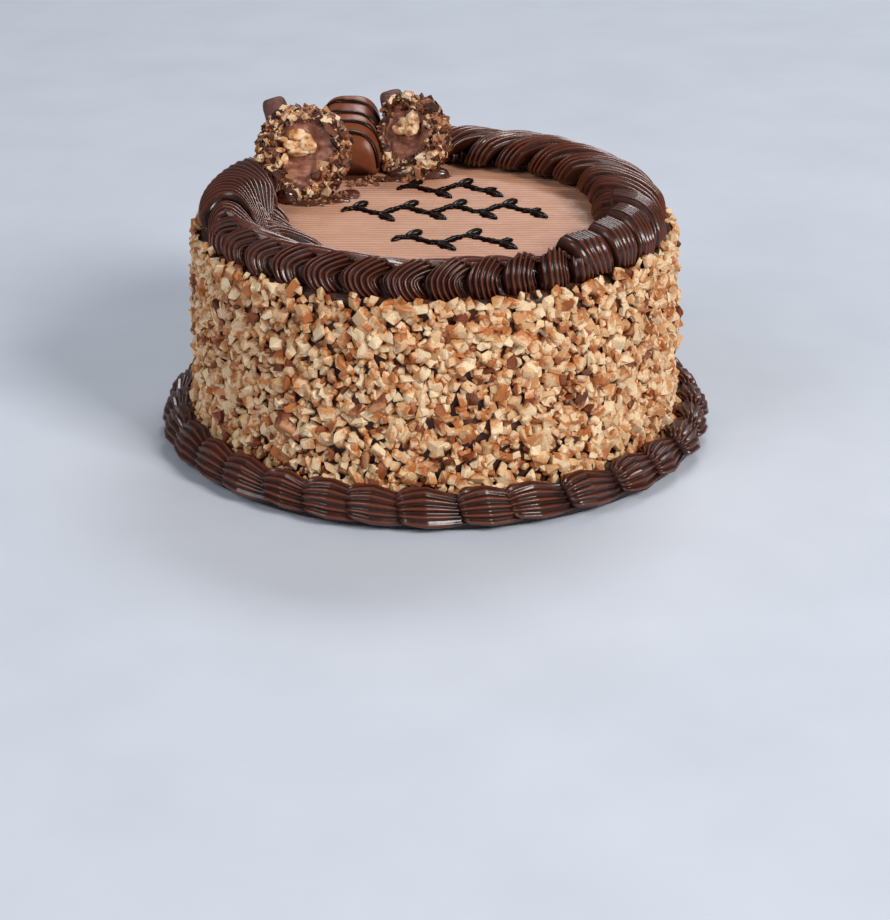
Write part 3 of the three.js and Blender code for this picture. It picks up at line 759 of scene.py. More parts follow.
SPILL_RING = Ring(Arch(58.0, 8.6, inner_base=74.5, outer_base=76.5, rise=4.6, fullness=0.75))
SPILL_ANGLES = (174.0, 182.0, 190.0, 198.0, 206.0)
SPILL_LOOK = {
    "drift": 0.0, "width": 13.0, "lip": 0.3, "curl": 1.6, "drop": 2.6, "fall": 2.0, "eye": 0.3,
    "depth": 1.0, "sink": 0.5, "tighten": 0.4, "lead": 0.62, "bend": 1.3, "heel": 0.4, "soft": 4.0,
}
BACK_ANGLES = tuple(range(194, -10, -14))
BACK_RISES = ((0.0, -1.6), (0.08, 0.9), (0.3, 1.9), (0.6, 0.6), (0.85, -1.0), (1.0, -2.4))
COMB_LINES = (
    (
        ((345.0, 0.3), (340.0, 0.5), (336.0, 0.75), (335.0, 0.985)),
        ((357.0, 0.28), (351.0, 0.48), (345.5, 0.75), (344.0, 0.99)),
    ),
    (
        ((330.0, 0.4), (328.0, 0.58), (326.5, 0.8), (326.5, 0.975)),
        ((341.5, 0.4), (338.5, 0.58), (335.5, 0.8), (334.5, 0.985)),
    ),
    (
        ((316.5, 0.45), (316.5, 0.62), (316.5, 0.8), (318.0, 0.96)),
        ((328.5, 0.44), (327.5, 0.62), (326.0, 0.8), (326.0, 0.975)),
    ),
    (
        ((304.0, 0.5), (304.0, 0.62), (305.5, 0.8), (308.5, 0.95)),
        ((316.5, 0.5), (316.5, 0.64), (316.0, 0.82), (317.0, 0.965)),
    ),
)
COMB_RISES = (
    ((0.0, -3.4), (0.04, -1.4), (0.1, 0.3), (0.4, 0.9), (0.8, 0.5), (1.0, -0.4)),
    ((0.0, -4.4), (0.04, -1.9), (0.1, 0.2), (0.4, 1.0), (0.8, 0.6), (1.0, -0.4)),
    ((0.0, -6.4), (0.05, -2.6), (0.12, 0.2), (0.4, 1.3), (0.8, 0.7), (1.0, -0.4)),
    ((0.0, -7.0), (0.05, -3.0), (0.13, 0.0), (0.4, 1.3), (0.8, 0.7), (1.0, -0.4)),
)


def front_run():
    """Shells of the front half, piped from left to right, each over the one before. The first ones are
    slanted strokes, then ridges that fan out from one place make the swirl on the left, round an eye. Low
    shells spill from it onto the disc."""
    rng = np.random.default_rng(31)
    parts = [lobe(SPILL_RING, angle, 8.0, SPILL_LOOK, 7, rng) for angle in SPILL_ANGLES]
    for angle, after in zip(FRONT_ANGLES[:-1], FRONT_ANGLES[1:]):
        curve = dict(FRONT_LOOK)
        for label, (angles, sizes) in FRONT_CHANGES.items():
            curve[label] = np.interp(angle, angles, sizes)
        rise = rng.normal(0.0, 0.25) - 0.8 * (angle > 300)
        teeth = 9
        if angle <= STROKE_ANGLES[-1]:
            curve.update(width=9.0, eye=0.0)
            teeth = 6
        elif angle < 190.0:
            rise -= 2.0
        parts.append(lobe(TOP_RING, angle, after - angle, curve, teeth, rng, rise))
    parts.append(swept(TOP_RING, SWIRL_LINES, 12, SWIRL_RISES, (0.07, 2.6), 1.35, rng))
    parts.append(swept(TOP_RING, EYE_LINES, 4, EYE_RISES, (0.2, 2.0), 1.0, rng))
    return parts


def back_run():
    """Strands of the back and right, piped clockwise and leaning more at the back, then a few combed lobes
    that stand up on the right end. Heads and tails sink where the next strand has to show."""
    rng = np.random.default_rng(32)
    parts = []
    for place in BACK_ANGLES:
        angle = place + rng.normal(0.0, 0.7)
        lean = np.interp(angle, (-10.0, 10.0, 40.0), (0.3, 0.65, 1.0)) * rng.uniform(0.95, 1.05)
        low = np.array([(0, 0, 0.04), (-1, -3, 0.34), (-2, -14, 0.62), (-4, -30, 0.97)])
        high = np.array([(-10, 0, 0.04), (-10.5, 0, 0.16), (-13, -12, 0.42), (-17, -24, 0.84)])
        low, high = (np.stack([angle + row[:, 0] + row[:, 1] * lean, row[:, 2]], -1) for row in (low, high))
        head = 4.5 if angle > 98 else 0.0
        tail = 1.8 if angle > 176 else 0.0
        rises = []
        for spot, tall in BACK_RISES:
            rises.append((spot, tall + rng.normal(0.0, 0.15) - (head if spot < 0.5 else tail)))
        parts.append(swept(TOP_RING, (low, (low + high) / 2, high), 5, rises, (0.27, 6.0), 1.9, rng))
    for lines, rises in zip(COMB_LINES, COMB_RISES):
        low, high = np.array(lines)
        parts.append(swept(HIGH_RING, (low, (low + high) / 2, high), 6, rises, (0.24, 4.6), 2.2, rng))
    return parts


BOTTOM_RING = Ring(Arch(87.6, 7.0, inner_base=0.2, outer_base=0.2, rise=12.4, fullness=0.8))
BOTTOM_ANGLES = (232.7, 243.0, 252.1, 262.8, 275.1, 285.2, 298.0, 310.9, 322.1, 333.9)
LOAF_WAYS = (80.0, 30.0, -6.0)
LOAF_DEPTH = 1.05
LOAF_RISES = ((0.0, 0.0), (0.17, 0.3), (0.42, 0.6), (0.72, -1.7), (1.0, -3.4))


def bottom_run():
    """Shells round the foot: fat heads on the left, tails that run on under the next head."""
    rng = np.random.default_rng(33)
    rest = np.linspace(BOTTOM_ANGLES[-1], BOTTOM_ANGLES[0] + 360.0, 25)[1:-1]
    places = (*BOTTOM_ANGLES, *(rest + rng.normal(0.0, 0.7, len(rest))))
    return [loaf(BOTTOM_RING, angle, 9, rng) for angle in places]


# ---------------------------------------------------------------- chopped nuts

CHIP_CORNERS = np.array([[x, y, z] for x in (-1, 1) for y in (-1, 1) for z in (-1, 1)], dtype=float)


def chip_faces():
    """Triangles of a box whose corners are each cut to three points: six faces, twelve edges, eight corners.
    Point 3 * corner + axis is that corner's point on the face square to the axis."""
    faces = []
    sign = CHIP_CORNERS.astype(int)
    number = {tuple(corner): k for k, corner in enumerate(sign.tolist())}
    for axis in range(3):
        one, two = (axis + 1) % 3, (axis + 2) % 3
        for way in (-1, 1):
            ring = []
            for a, b in ((-1, -1), (1, -1), (1, 1), (-1, 1)):
                corner = [0, 0, 0]
                corner[axis], corner[one], corner[two] = way, a, b
                ring.append(3 * number[tuple(corner)] + axis)
            ring = ring if way > 0 else ring[::-1]
            faces += [ring[:3], [ring[0], ring[2], ring[3]]]
    for axis in range(3):
        one, two = (axis + 1) % 3, (axis + 2) % 3
        for a in (-1, 1):
            for b in (-1, 1):
                low, high = [0, 0, 0], [0, 0, 0]
                low[axis], high[axis] = -1, 1
                low[one] = high[one] = a
                low[two] = high[two] = b
                p, q = 3 * number[tuple(low)], 3 * number[tuple(high)]
                quad = [p + one, q + one, q + two, p + two]
                quad = quad[::-1] if a * b > 0 else quad
                faces += [quad[:3], [quad[0], quad[2], quad[3]]]
    for k, corner in enumerate(sign.tolist()):
        triangle = [3 * k, 3 * k + 1, 3 * k + 2]
        faces.append(triangle if corner[0] * corner[1] * corner[2] > 0 else triangle[::-1])
    return np.array(faces)


CHIP_FACES = chip_faces()
CHIP_WEAR = 0.22
CHIP_SKEW = 0.4
CHIP_EDGE = 28.0
CHIP_VALUES = ("shade", "roast")


def chips(places, outs, sizes, rng, tumble=0.45):
    """Angular chips. Each is a box with eight corners pushed about, its edges cut back by CHIP_WEAR, its
    thin way mostly along outs, turned at random about it. Returns points, faces, shade and roast."""
    count = len(places)
    corners = CHIP_CORNERS[None] * (1.0 + rng.uniform(-CHIP_SKEW, CHIP_SKEW, (count, 8, 3)))
    pinch = rng.uniform(0.45, 1.0, (count, 1, 1))
    corners[:, :, :2] *= np.where(CHIP_CORNERS[None, :, 2:] > 0, pinch, 1.0)
    middle = corners.mean(axis=1, keepdims=True)
    corners -= middle
    points = np.repeat(corners, 3, axis=1).reshape(count, 8, 3, 3)
    cut = CHIP_WEAR * rng.uniform(0.6, 1.5, (count, 1, 1, 1))
    keep = np.where(np.eye(3)[None, None] > 0, 1.0, 1.0 - cut)
    points = (points * keep).reshape(count, 24, 3) * (0.5 * sizes[:, None, :])
    toast_way = unit(rng.standard_normal((count, 1, 3)) * np.array([1.0, 1.0, 0.6]))
    reach = np.einsum("nij,nkj->ni", points, toast_way) / (0.5 * sizes.mean(axis=1, keepdims=True))
    along = unit(outs + tumble * rng.standard_normal((count, 3)))
    first = unit(np.cross(along, rng.standard_normal((count, 3))))
    second = np.cross(along, first)
    turn = np.stack([first, second, along], axis=-1)
    world = np.einsum("nij,nkj->nki", turn, points) + places[:, None, :]
    faces = (CHIP_FACES[None] + 24 * np.arange(count)[:, None, None]).reshape(-1, 3)
    shade = np.repeat(rng.random((count, 1)), 24, axis=1)
    roast = np.clip(0.5 + 0.45 * reach, 0.0, 1.0)
    return world.reshape(-1, 3), faces, shade.ravel(), roast.ravel()


CORE_FOOT_RADIUS = 80.6
CORE_TOP_RADIUS = 79.2
CORE_HEIGHT = 72.0
NUT_COUNT = 6000
PALE_UNTIL = 0.56
TOASTED_UNTIL = 0.9


def side_radius(height):
    """Radius of the icing under the nuts at a height."""
    return CORE_FOOT_RADIUS + (CORE_TOP_RADIUS - CORE_FOOT_RADIUS) * height / CORE_HEIGHT


def nut_field():
    """Places, outward ways and sizes of the chips on the side: an even spiral of points, jittered, in two
    layers, with more standing out where they pile up on the foot. They reach a little higher, with a ragged
    edge, beside the swirl on the left and under the combed lobes on the right."""
    rng = np.random.default_rng(41)
    number = np.arange(NUT_COUNT)
    golden = (math.sqrt(5.0) - 1.0) / 2.0
    turn = TAU * ((number * golden) % 1.0) + rng.normal(0.0, 0.012, NUT_COUNT)
    height = 6.0 + 66.0 * (number + 0.5) / NUT_COUNT + rng.normal(0.0, 0.9, NUT_COUNT)
    ragged = lattice_noise(at_turn(90.0, turn, 0.0), 7.0, 6)
    left = bell(np.degrees(turn) % 360.0 - 196.0, 13.0)
    right = bell(np.degrees(turn) % 360.0 - 316.0, 22.0)
    height = height + 1.6 * right * np.clip((height - 60.0) / 12.0, 0.0, 1.0)
    height = np.clip(height, 4.0, 72.8 + 2.2 * ragged + 4.2 * left + 1.6 * right)
    layer = rng.random(NUT_COUNT) ** 1.4
    foot = np.clip((16.0 - height) / 10.0, 0.0, 1.0)
    radius = side_radius(height) + 0.5 + 1.5 * layer + 2.2 * foot * rng.random(NUT_COUNT) + 0.8 * left
    long = np.clip(rng.gamma(14.0, 3.7 / 14.0, NUT_COUNT), 1.8, 7.0)
    wide = long * rng.uniform(0.48, 0.95, NUT_COUNT)
    sizes = np.stack([long, wide, long * rng.uniform(0.34, 0.7, NUT_COUNT)], axis=-1)
    return at_turn(radius, turn, height), at_turn(1.0, turn, 0.15), sizes, rng


def nut_kind(rng, count):
    """0 for pale, 1 for toasted and 2 for skin-brown chips."""
    draw = rng.random(count)
    return np.where(draw < PALE_UNTIL, 0, np.where(draw < TOASTED_UNTIL, 1, 2))


# ---------------------------------------------------------------- icing disc and vines

ICING_TOP = 74.4
ICING_RADIUS = 71.5
DISC_ROWS = 470
DISC_COLUMNS = 60
DISC_DEPTH = 2.0
COMB_PITCH = 2.35
COMB_DEPTH = 0.34


def combed_disc():
    """The combed icing: rows across the disc, each a closed strip; the height is a rounded comb of lines
    along X that drift slightly."""
    y = ICING_RADIUS * np.sin(np.linspace(-1.0, 1.0, DISC_ROWS) * math.pi / 2 * 0.995)[:, None]
    x = np.sqrt(ICING_RADIUS**2 - y**2) * np.linspace(-1.0, 1.0, DISC_COLUMNS)
    drift = 0.35 * np.sin(x / 23.0 + 0.8) + 0.2 * np.sin(y / 9.0) + 0.12 * np.sin(x / 7.0 + y / 5.0)
    comb = (0.5 + 0.5 * np.cos(TAU * (y + drift) / COMB_PITCH)) ** 0.8
    spot = np.stack([0.25 * x, y + 0 * x, 0 * x], axis=-1).reshape(-1, 3)
    cloud = lattice_noise(spot, 3.0, 5).reshape(DISC_ROWS, DISC_COLUMNS)
    z = ICING_TOP + COMB_DEPTH * (comb - 0.75) * (0.65 + 0.7 * cloud) + 0.25 * (cloud - 0.5)
    under = x[:, ::-20]
    across = np.concatenate([x, under], axis=1)
    height = np.concatenate([z, 0 * under + ICING_TOP - DISC_DEPTH], axis=1)
    points = close_ends(np.stack([across, y + 0 * across, height], axis=-1))
    crest = np.concatenate([comb, 0 * under], axis=1)
    return as_part(points, DISC_ROWS, DISC_COLUMNS + under.shape[1], crest)


VINE_ROWS = ((4.0, 30.5, 17.5, 2), (2.0, 6.0, 34.0, 4), (5.6, -26.0, 20.0, 2))
VINE_SWING = 3.2
VINE_TILT = math.radians(3.0)
VINE_WIDTH = 1.25
LEAF_LONG = 4.3
LEAF_WIDE = 2.15
LEAF_HIGH = 1.4
LEAF_REACH = 4.9
LEAF_SLOPE = math.radians(55.0)
LEAF_STATIONS = 26
LEAF_AROUND = 24
VINE_AROUND = 20


def set_in_row(x, y, height, row):
    """Points of a row of the vine, turned by its tilt and moved to its place on the disc, with ends
    closed."""
    c, s = math.cos(VINE_TILT), math.sin(VINE_TILT)
    return close_ends(np.stack([c * x - s * y + row[0], s * x + c * y + row[1], height + ICING_TOP], axis=-1))


def vine_stem(row, rng):
    """A wave carried along the row: an oval section with a soft dent on top, thicker here and thinner
    there."""
    _, _, half, waves = row
    rows = 40 * waves
    share = np.linspace(0.0, 1.0, rows)
    line = np.stack([(2 * share - 1) * half, VINE_SWING * np.sin(TAU * waves * share)], axis=-1)
    heading = unit(np.gradient(line, axis=0))
    around = even_turns(VINE_AROUND)
    press = 1.0 + 0.12 * np.sin(TAU * share * 3.3 * waves + rng.random() * 6)
    press = press + 0.06 * np.sin(TAU * share * 11 * waves)
    taper = np.sqrt(np.clip(np.minimum(share, 1 - share) * half / 0.9, 0.02, 1.0))
    thick = (VINE_WIDTH * press * taper)[:, None]
    wide = thick * np.cos(around)
    dent = 1.0 - 0.28 * bell(np.cos(around), 0.42) * (np.sin(around) > 0)
    high = thick * (np.sin(around) * dent * 1.02)
    x = line[:, :1] - heading[:, 1:] * wide
    y = line[:, 1:] + heading[:, :1] * wide
    return as_part(set_in_row(x, y, high, row), rows, VINE_AROUND)


def vine_leaf(row, number, rng):
    """A leaf: a pointed oval whose section has two rounded sides and a groove along the middle."""
    _, _, half, waves = row
    share = (number + 0.5) / (2 * waves)
    base_x, base_y = (2 * share - 1) * half, VINE_SWING * math.sin(TAU * waves * share)
    slope = LEAF_SLOPE * np.sign(base_y) + rng.normal(0.0, 0.05)
    along = np.linspace(-1.0, 1.0, LEAF_STATIONS)[:, None]
    width = LEAF_WIDE * np.clip(1 - along**2, 0.004, 1.0) ** 0.62 * (1.0 - 0.18 * along)
    around = even_turns(LEAF_AROUND)
    groove = 1.0 - 0.42 * bell(np.cos(around), 0.3) * (np.sin(around) > 0)
    plan_y = width * np.cos(around) + 0.25 * along**2
    plan_x = LEAF_REACH + LEAF_LONG * along + 0 * plan_y
    high = LEAF_HIGH * np.clip(1 - along**2, 0.01, 1.0) ** 0.5 * (np.sin(around) * groove)
    c, s = math.cos(slope), math.sin(slope)
    x = base_x + c * plan_x - s * plan_y
    y = base_y + s * plan_x + c * plan_y
    return as_part(set_in_row(x, y, high, row), LEAF_STATIONS, LEAF_AROUND)


# ---------------------------------------------------------------- pralines

PRALINE_LEFT = {
    "centre": (-45.6, 23.5, 89.7),
    "radius": 16.0,
    "face": (-0.08, -0.95, 0.3),
    "seed": 51,
    "pit": (-0.52, 0.02),
    "bare": -2.0,
    "rim": ((0, 0.68), (45, 0.76), (90, 0.74), (135, 0.68), (180, 0.6), (225, 0.52), (252, 0.72),
            (272, 0.92), (292, 0.6), (320, 0.46), (345, 0.6), (360, 0.68)),
    "kernel": (
        (-2.2, 6.0, 0.5, 3.4, 2.2, 1.7),
        (1.6, 3.0, 0.6, 3.6, 3.9, 2.0),
        (-1.6, 0.2, 0.6, 3.6, 1.9, 1.5),
        (-4.6, 2.6, 0.5, 2.3, 1.7, 1.3),
        (-1.4, 3.2, -0.5, 2.6, 2.2, 1.0),
        (-7.2, 4.4, 0.5, 2.3, 1.0, 1.0),
        (-7.6, 0.6, 0.5, 1.8, 0.9, 0.9),
        (-6.2, -2.6, 0.5, 1.3, 2.4, 0.9),
    ),
}
PRALINE_RIGHT = {
    "centre": (-9.6, 48.3, 88.2),
    "radius": 14.3,
    "face": (-0.55, -0.79, 0.27),
    "seed": 61,
    "pit": (-0.62, -0.45),
    "bare": -0.86,
    "rim": ((0, 0.6), (45, 0.66), (85, 0.72), (110, 0.97), (160, 1.0), (215, 0.97), (240, 0.76),
            (270, 0.66), (310, 0.56), (360, 0.6)),
    "kernel": (
        (1.2, 6.6, 0.4, 3.0, 3.9, 1.8),
        (-2.2, 4.4, 0.5, 3.6, 2.0, 1.4),
        (-4.2, 1.8, 0.6, 4.2, 1.9, 1.3),
        (0.6, 1.8, 0.6, 2.8, 1.9, 1.3),
        (2.4, 3.4, 0.3, 1.8, 2.4, 1.1),
    ),
}
CRUMB_FEET = (
    (-46.0, 12.6, 0.0, 3.4),
    (-38.0, 15.0, 0.0, 3.0),
    (-32.5, 21.0, 0.0, 2.6),
    (-28.0, 36.0, 0.0, 3.2),
    (-21.0, 40.5, 0.0, 2.6),
    (-8.0, 40.0, 0.0, 2.4),
)
CRUMB_CEILING = 105.0
CRUMBS_FALLEN = 150
CRUST_ROWS = 96
CRUST_COLUMNS = 190
CRUST_SHARE = 0.955
BACK_SHARE = 0.7
RIM_SHARE = 0.3
CREAM_ROWS = 60
CREAM_COLUMNS = 120
CREAM_SHARE = 0.8
FACE_SHARE = 0.62
DISH_SHARE = 0.38
CHUNK_ROWS = 30
CHUNK_COLUMNS = 44
CHUNK_CUTS = 11
KERNEL_SHARE = 0.42
KERNEL_OFFSET = 0.17


def praline_frame(praline):
    """Columns: across the face, up the face and out of it."""
    face = unit(np.array(praline["face"]))
    across = unit(np.cross(np.array([0.0, 0.0, 1.0]), face))
    return np.stack([across, np.cross(face, across), face], axis=-1)


def set_praline(points, praline):
    """A praline's own points, turned to its face and moved to its middle."""
    return points @ praline_frame(praline).T + np.array(praline["centre"])


def settle(points):
    """Flattens what would reach below the icing onto it."""
    return np.maximum(points, (-math.inf, -math.inf, ICING_TOP + 0.1))


def crust_bowl(praline):
    """The half ball and its rim: a profile from the back pole round to the rim and in to the cream, turned
    about the face's axis. Lattice noise pushes it in and out, coarse for the lumps and folded fine for the
    crags, which are its value."""
    radius, seed = praline["radius"], praline["seed"]
    share = np.linspace(0.0, 1.0, CRUST_ROWS)
    polar = np.pi * (1.0 - 0.5 * np.minimum(share / BACK_SHARE, 1.0))
    inward = np.clip((share - BACK_SHARE) / RIM_SHARE, 0.0, 1.0)
    ring = radius * CRUST_SHARE * np.sin(polar) * (1.0 - 0.34 * inward)
    out = radius * CRUST_SHARE * np.cos(polar) + 0.9 * np.sin(np.pi * inward) - 2.4 * inward**2
    flat = spun(ring, out, CRUST_COLUMNS)
    lump = lattice_noise(flat, 2.8, seed) - 0.5
    crag = np.abs(lattice_noise(flat, 1.3, seed + 1) - 0.5) - 0.25
    fine = lattice_noise(flat, 0.6, seed + 9) - 0.5
    flat = flat * (1.0 + (1.7 * lump + 2.4 * crag + 0.5 * fine) / radius)[:, None]
    flat[:, 2] += (1.5 * crag + 0.8 * lump) * np.repeat(inward > 0, CRUST_COLUMNS)
    points = settle(set_praline(close_ends(flat.reshape(CRUST_ROWS, CRUST_COLUMNS, 3)), praline))
    return as_part(points, CRUST_ROWS, CRUST_COLUMNS, 0.5 + 1.3 * crag + 0.6 * fine, 0.5)


def cream_face(praline):
    """The cut cream: a closed shallow dish inside the crust with a ragged outline, hollowed beside the kernel
    and dragged by the knife."""
    radius, seed = praline["radius"], praline["seed"]
    share = np.linspace(0.0, 1.0, CREAM_ROWS)
    front = share <= FACE_SHARE
    behind = np.clip(share - FACE_SHARE, 0.0, 1.0) / DISH_SHARE
    spread = np.where(front, np.clip(share / FACE_SHARE, 0.02, 1.0), 1.0 - 0.9 * behind)
    ring = radius * CREAM_SHARE * spread
    out = np.where(front, 0.0, -radius * 0.3 * np.sin(behind * math.pi / 2))
    turn = even_turns(CREAM_COLUMNS)
    uneven = 1.0 + 0.07 * np.sin(2 * turn + seed) + 0.06 * np.sin(5 * turn + 2 * seed)
    uneven = uneven + 0.03 * np.sin(11 * turn)
    flat = at_turn(ring[:, None] * uneven, turn, out[:, None]).reshape(-1, 3)
    x, y = flat[:, 0] / radius, flat[:, 1] / radius
    near = np.hypot(x + KERNEL_OFFSET, y - KERNEL_OFFSET) - KERNEL_SHARE
    pit_x, pit_y = praline["pit"]
    hollow = 1.5 * bell(near * radius, 1.6) + 3.4 * bell(np.hypot((x - pit_x) / 0.14, (y - pit_y) / 0.3), 1.0)
    coarse = lattice_noise(flat, 3.4, seed + 2) - 0.5
    dragged = lattice_noise(flat * np.array([0.4, 1.3, 1.0]), 1.2, seed + 3) - 0.5
    relief = 0.1 - hollow + 1.5 * coarse + 0.6 * dragged
    flat[:, 2] += np.where(np.repeat(front, CREAM_COLUMNS), relief, 0.0)
    points = settle(set_praline(close_ends(flat.reshape(CREAM_ROWS, CREAM_COLUMNS, 3)), praline))
    return as_part(points, CREAM_ROWS, CREAM_COLUMNS)


def nut_chunk(centre, radii, seed):
    """A broken piece of kernel: a ball cut by flat planes, so its radius is the least of one and each plane's
    distance in that direction, then roughened by lattice noise and stretched by radii."""
    rng = np.random.default_rng(seed)
    radii = np.array(radii)
    ways = spun_ball(CHUNK_ROWS, CHUNK_COLUMNS)
    planes = unit(rng.standard_normal((CHUNK_CUTS, 3)))
    cut = rng.uniform(0.62, 0.92, CHUNK_CUTS) / np.maximum(ways @ planes.T, 0.05)
    reach = np.minimum(1.0, cut.min(axis=1))
    rough = lattice_noise(ways * radii, 0.9, seed + 1) - 0.5
    groove = lattice_noise(ways * radii, 2.4, seed + 2) - 0.5
    flat = ways * (reach * (1.0 + 0.1 * rough + 0.24 * groove))[:, None] * radii
    points = close_ends(flat.reshape(CHUNK_ROWS, CHUNK_COLUMNS, 3)) + np.array(centre)
    return as_part(points, CHUNK_ROWS, CHUNK_COLUMNS)


def kernel_pieces(praline):
    """The broken kernel on the cut face: a few angular pieces, as listed for that praline."""
    parts = []
    for number, piece in enumerate(praline["kernel"]):
        parts.append(nut_chunk(piece[:3], piece[3:], praline["seed"] + 20 + number))
    points, faces, values = gather(parts)
    return set_praline(points, praline), faces, values


def crust_crumbs(praline, count, kind):
    """Flakes of nut, wafer and chocolate pressed into the crust and standing round its rim."""
    rng = np.random.default_rng(praline["seed"] + 7 + kind)
    radius = praline["radius"]
    way = unit(rng.standard_normal((count, 3)))
    way[:, 2] = -np.abs(way[:, 2])
    rim = (rng.random(count) < 0.55)[:, None]
    turn = rng.random(count) * TAU
    inner = np.interp(np.degrees(turn), *zip(*praline["rim"]))
    spread = radius * (inner + (1.0 - inner) * rng.random(count))
    face_spot = at_turn(spread, turn, rng.uniform(-0.8, 1.0, count))
    local = np.where(rim, face_spot, way * (radius * 0.975))
    outs = np.where(rim, unit(face_spot + np.array([0.0, 0.0, 6.0])), way)
    long = np.clip(rng.gamma(2.6, 1.55 / 2.6, count), 0.6, 5.0)
    wide = long * rng.uniform(0.5, 0.95, count)
    sizes = np.stack([long * 1.15, wide, long * rng.uniform(0.25, 0.6, count)], axis=-1)
    places = set_praline(local, praline)
    keep = (places[:, 2] > ICING_TOP + 0.6) & (local[:, 0] > praline["bare"] * radius)
    keep = keep & (places[:, 2] + 0.6 * long < CRUMB_CEILING)
    return chips(places[keep], (outs @ praline_frame(praline).T)[keep], sizes[keep], rng, tumble=0.9)


def loose_crumbs():
    """Crumbs and flakes that dropped round the feet of the pralines and the bar."""
    rng = np.random.default_rng(91)
    feet = np.array(CRUMB_FEET)
    count = CRUMBS_FALLEN
    spot = feet[rng.integers(0, len(feet), count)]
    places = spot[:, :3] + rng.standard_normal((count, 3)) * np.array([1.0, 0.55, 0.0]) * spot[:, 3:]
    places[:, 2] = ICING_TOP + 0.5
    long = np.clip(rng.gamma(4.0, 1.4 / 4.0, count), 0.6, 3.2)
    wide = long * rng.uniform(0.5, 0.9, count)
    sizes = np.stack([long, wide, long * rng.uniform(0.35, 0.7, count)], axis=-1)
    return chips(places, np.repeat([[0.0, 0.0, 1.0]], count, axis=0), sizes, rng, tumble=0.5)


# ---------------------------------------------------------------- wafer bar, sticks and ganache

BAR_FRONT = np.array([-30.8, 45.5, 75.0])
BAR_LENGTH = 31.0
BAR_CLIMB = math.radians(19.0)
BAR_HALF = 11.5
BAR_TOP_HALF = 9.5
BAR_HEIGHT = 13.8
BAR_SHOULDER = 0.6
BAR_END = 1.6
BAR_ROWS = 60
BAR_OVER = 60
BAR_UNDER = 4
BAR_STATIONS = ((0.0, 0.72), (0.08, 0.9), (0.3, 1.0), (0.62, 0.96), (1.0, 0.9))
DRIZZLE_PLACES = (0.13, 0.34, 0.56, 0.8)
DRIZZLE_SLANT = 0.2
DRIZZLE_THICK = 0.95
DRIZZLE_STATIONS = 90
DRIZZLE_AROUND = 14


def bar_place(share, across, rise):
    """A point of the bar: along its climbing line, across it and up from it."""
    along = share * BAR_LENGTH
    y = along * math.cos(BAR_CLIMB) - rise * math.sin(BAR_CLIMB) * share
    z = along * math.sin(BAR_CLIMB) + rise
    return BAR_FRONT + np.stack(np.broadcast_arrays(across, y, z), axis=-1)


def bar_swell(share):
    """How full the bar is at a share of its length: straight lines between its stations."""
    return np.interp(share, *zip(*BAR_STATIONS))


def bar_skin(share, turn, proud):
    """Across and up on the bar's section: shoulders from powered sines, proud of the chocolate by a set
    amount."""
    swell = bar_swell(share)
    rise = (BAR_HEIGHT * swell + proud) * np.sin(turn) ** BAR_SHOULDER
    half = BAR_HALF + (BAR_TOP_HALF - BAR_HALF) * np.sin(turn)
    side = np.sign(np.cos(turn)) * np.abs(np.cos(turn)) ** BAR_SHOULDER
    return side * (half * np.sqrt(swell) + proud), rise


def bar_body():
    """The bar: its section carried along it, with softly rounded ends."""
    share = np.linspace(0.0, 1.0, BAR_ROWS)[:, None]
    turn = np.linspace(0.0, math.pi, BAR_OVER)[None, :]
    across, rise = bar_skin(share, turn, 0.0)
    end = np.clip(np.minimum(share, 1.0 - share) * BAR_LENGTH / BAR_END, 0.0, 1.0)
    shrink = 0.9 + 0.1 * np.sqrt(1.0 - (1.0 - end) ** 2)
    under = np.linspace(-0.6, 0.6, BAR_UNDER)[None, :] * BAR_HALF
    upper = bar_place(share, across * shrink, rise * shrink)
    lower = bar_place(share, under, -0.1)
    points = close_ends(np.concatenate([upper, lower], axis=1))
    points[:, 2] = np.maximum(points[:, 2], ICING_TOP + 0.15)
    return as_part(points, BAR_ROWS, BAR_OVER + BAR_UNDER)


def drizzle_line(place, number):
    """One thread of dark chocolate over the bar: a round thread carried along the section's own line,
    wandering."""
    turn = np.linspace(0.06, math.pi - 0.06, DRIZZLE_STATIONS)
    wander = place + 0.02 * np.sin(turn + 2.0 * number) + DRIZZLE_SLANT * (turn / math.pi - 0.5)
    wander = np.clip(wander, 0.03, 0.97)
    line = bar_place(wander, *bar_skin(wander, turn, 0.15))
    heading = unit(np.gradient(line, axis=0))
    out = unit(np.cross(heading, np.array([0.0, math.cos(BAR_CLIMB), math.sin(BAR_CLIMB)])))
    out = np.where((out[:, 2:] < 0) & (np.abs(out[:, 2:]) > 0.05), -out, out)
    side = np.cross(heading, out)
    around = even_turns(DRIZZLE_AROUND)[:, None]
    thick = DRIZZLE_THICK + 0.18 * np.sin(turn * 5 + number * 2)[:, None, None]
    grid = line[:, None] + side[:, None] * np.cos(around) * thick
    grid = grid + out[:, None] * np.sin(around) * (0.62 * thick)
    return as_part(close_ends(grid), DRIZZLE_STATIONS, DRIZZLE_AROUND)


STICK_STATIONS = 70
STICK_AROUND = 64
STICK_PROFILE = (
    (4.3, 0.0), (4.3, 0.5), (4.28, 0.86), (4.12, 0.925), (3.7, 0.97), (3.0, 0.995), (2.1, 1.0), (1.2, 0.99),
    (0.3, 0.985),
)


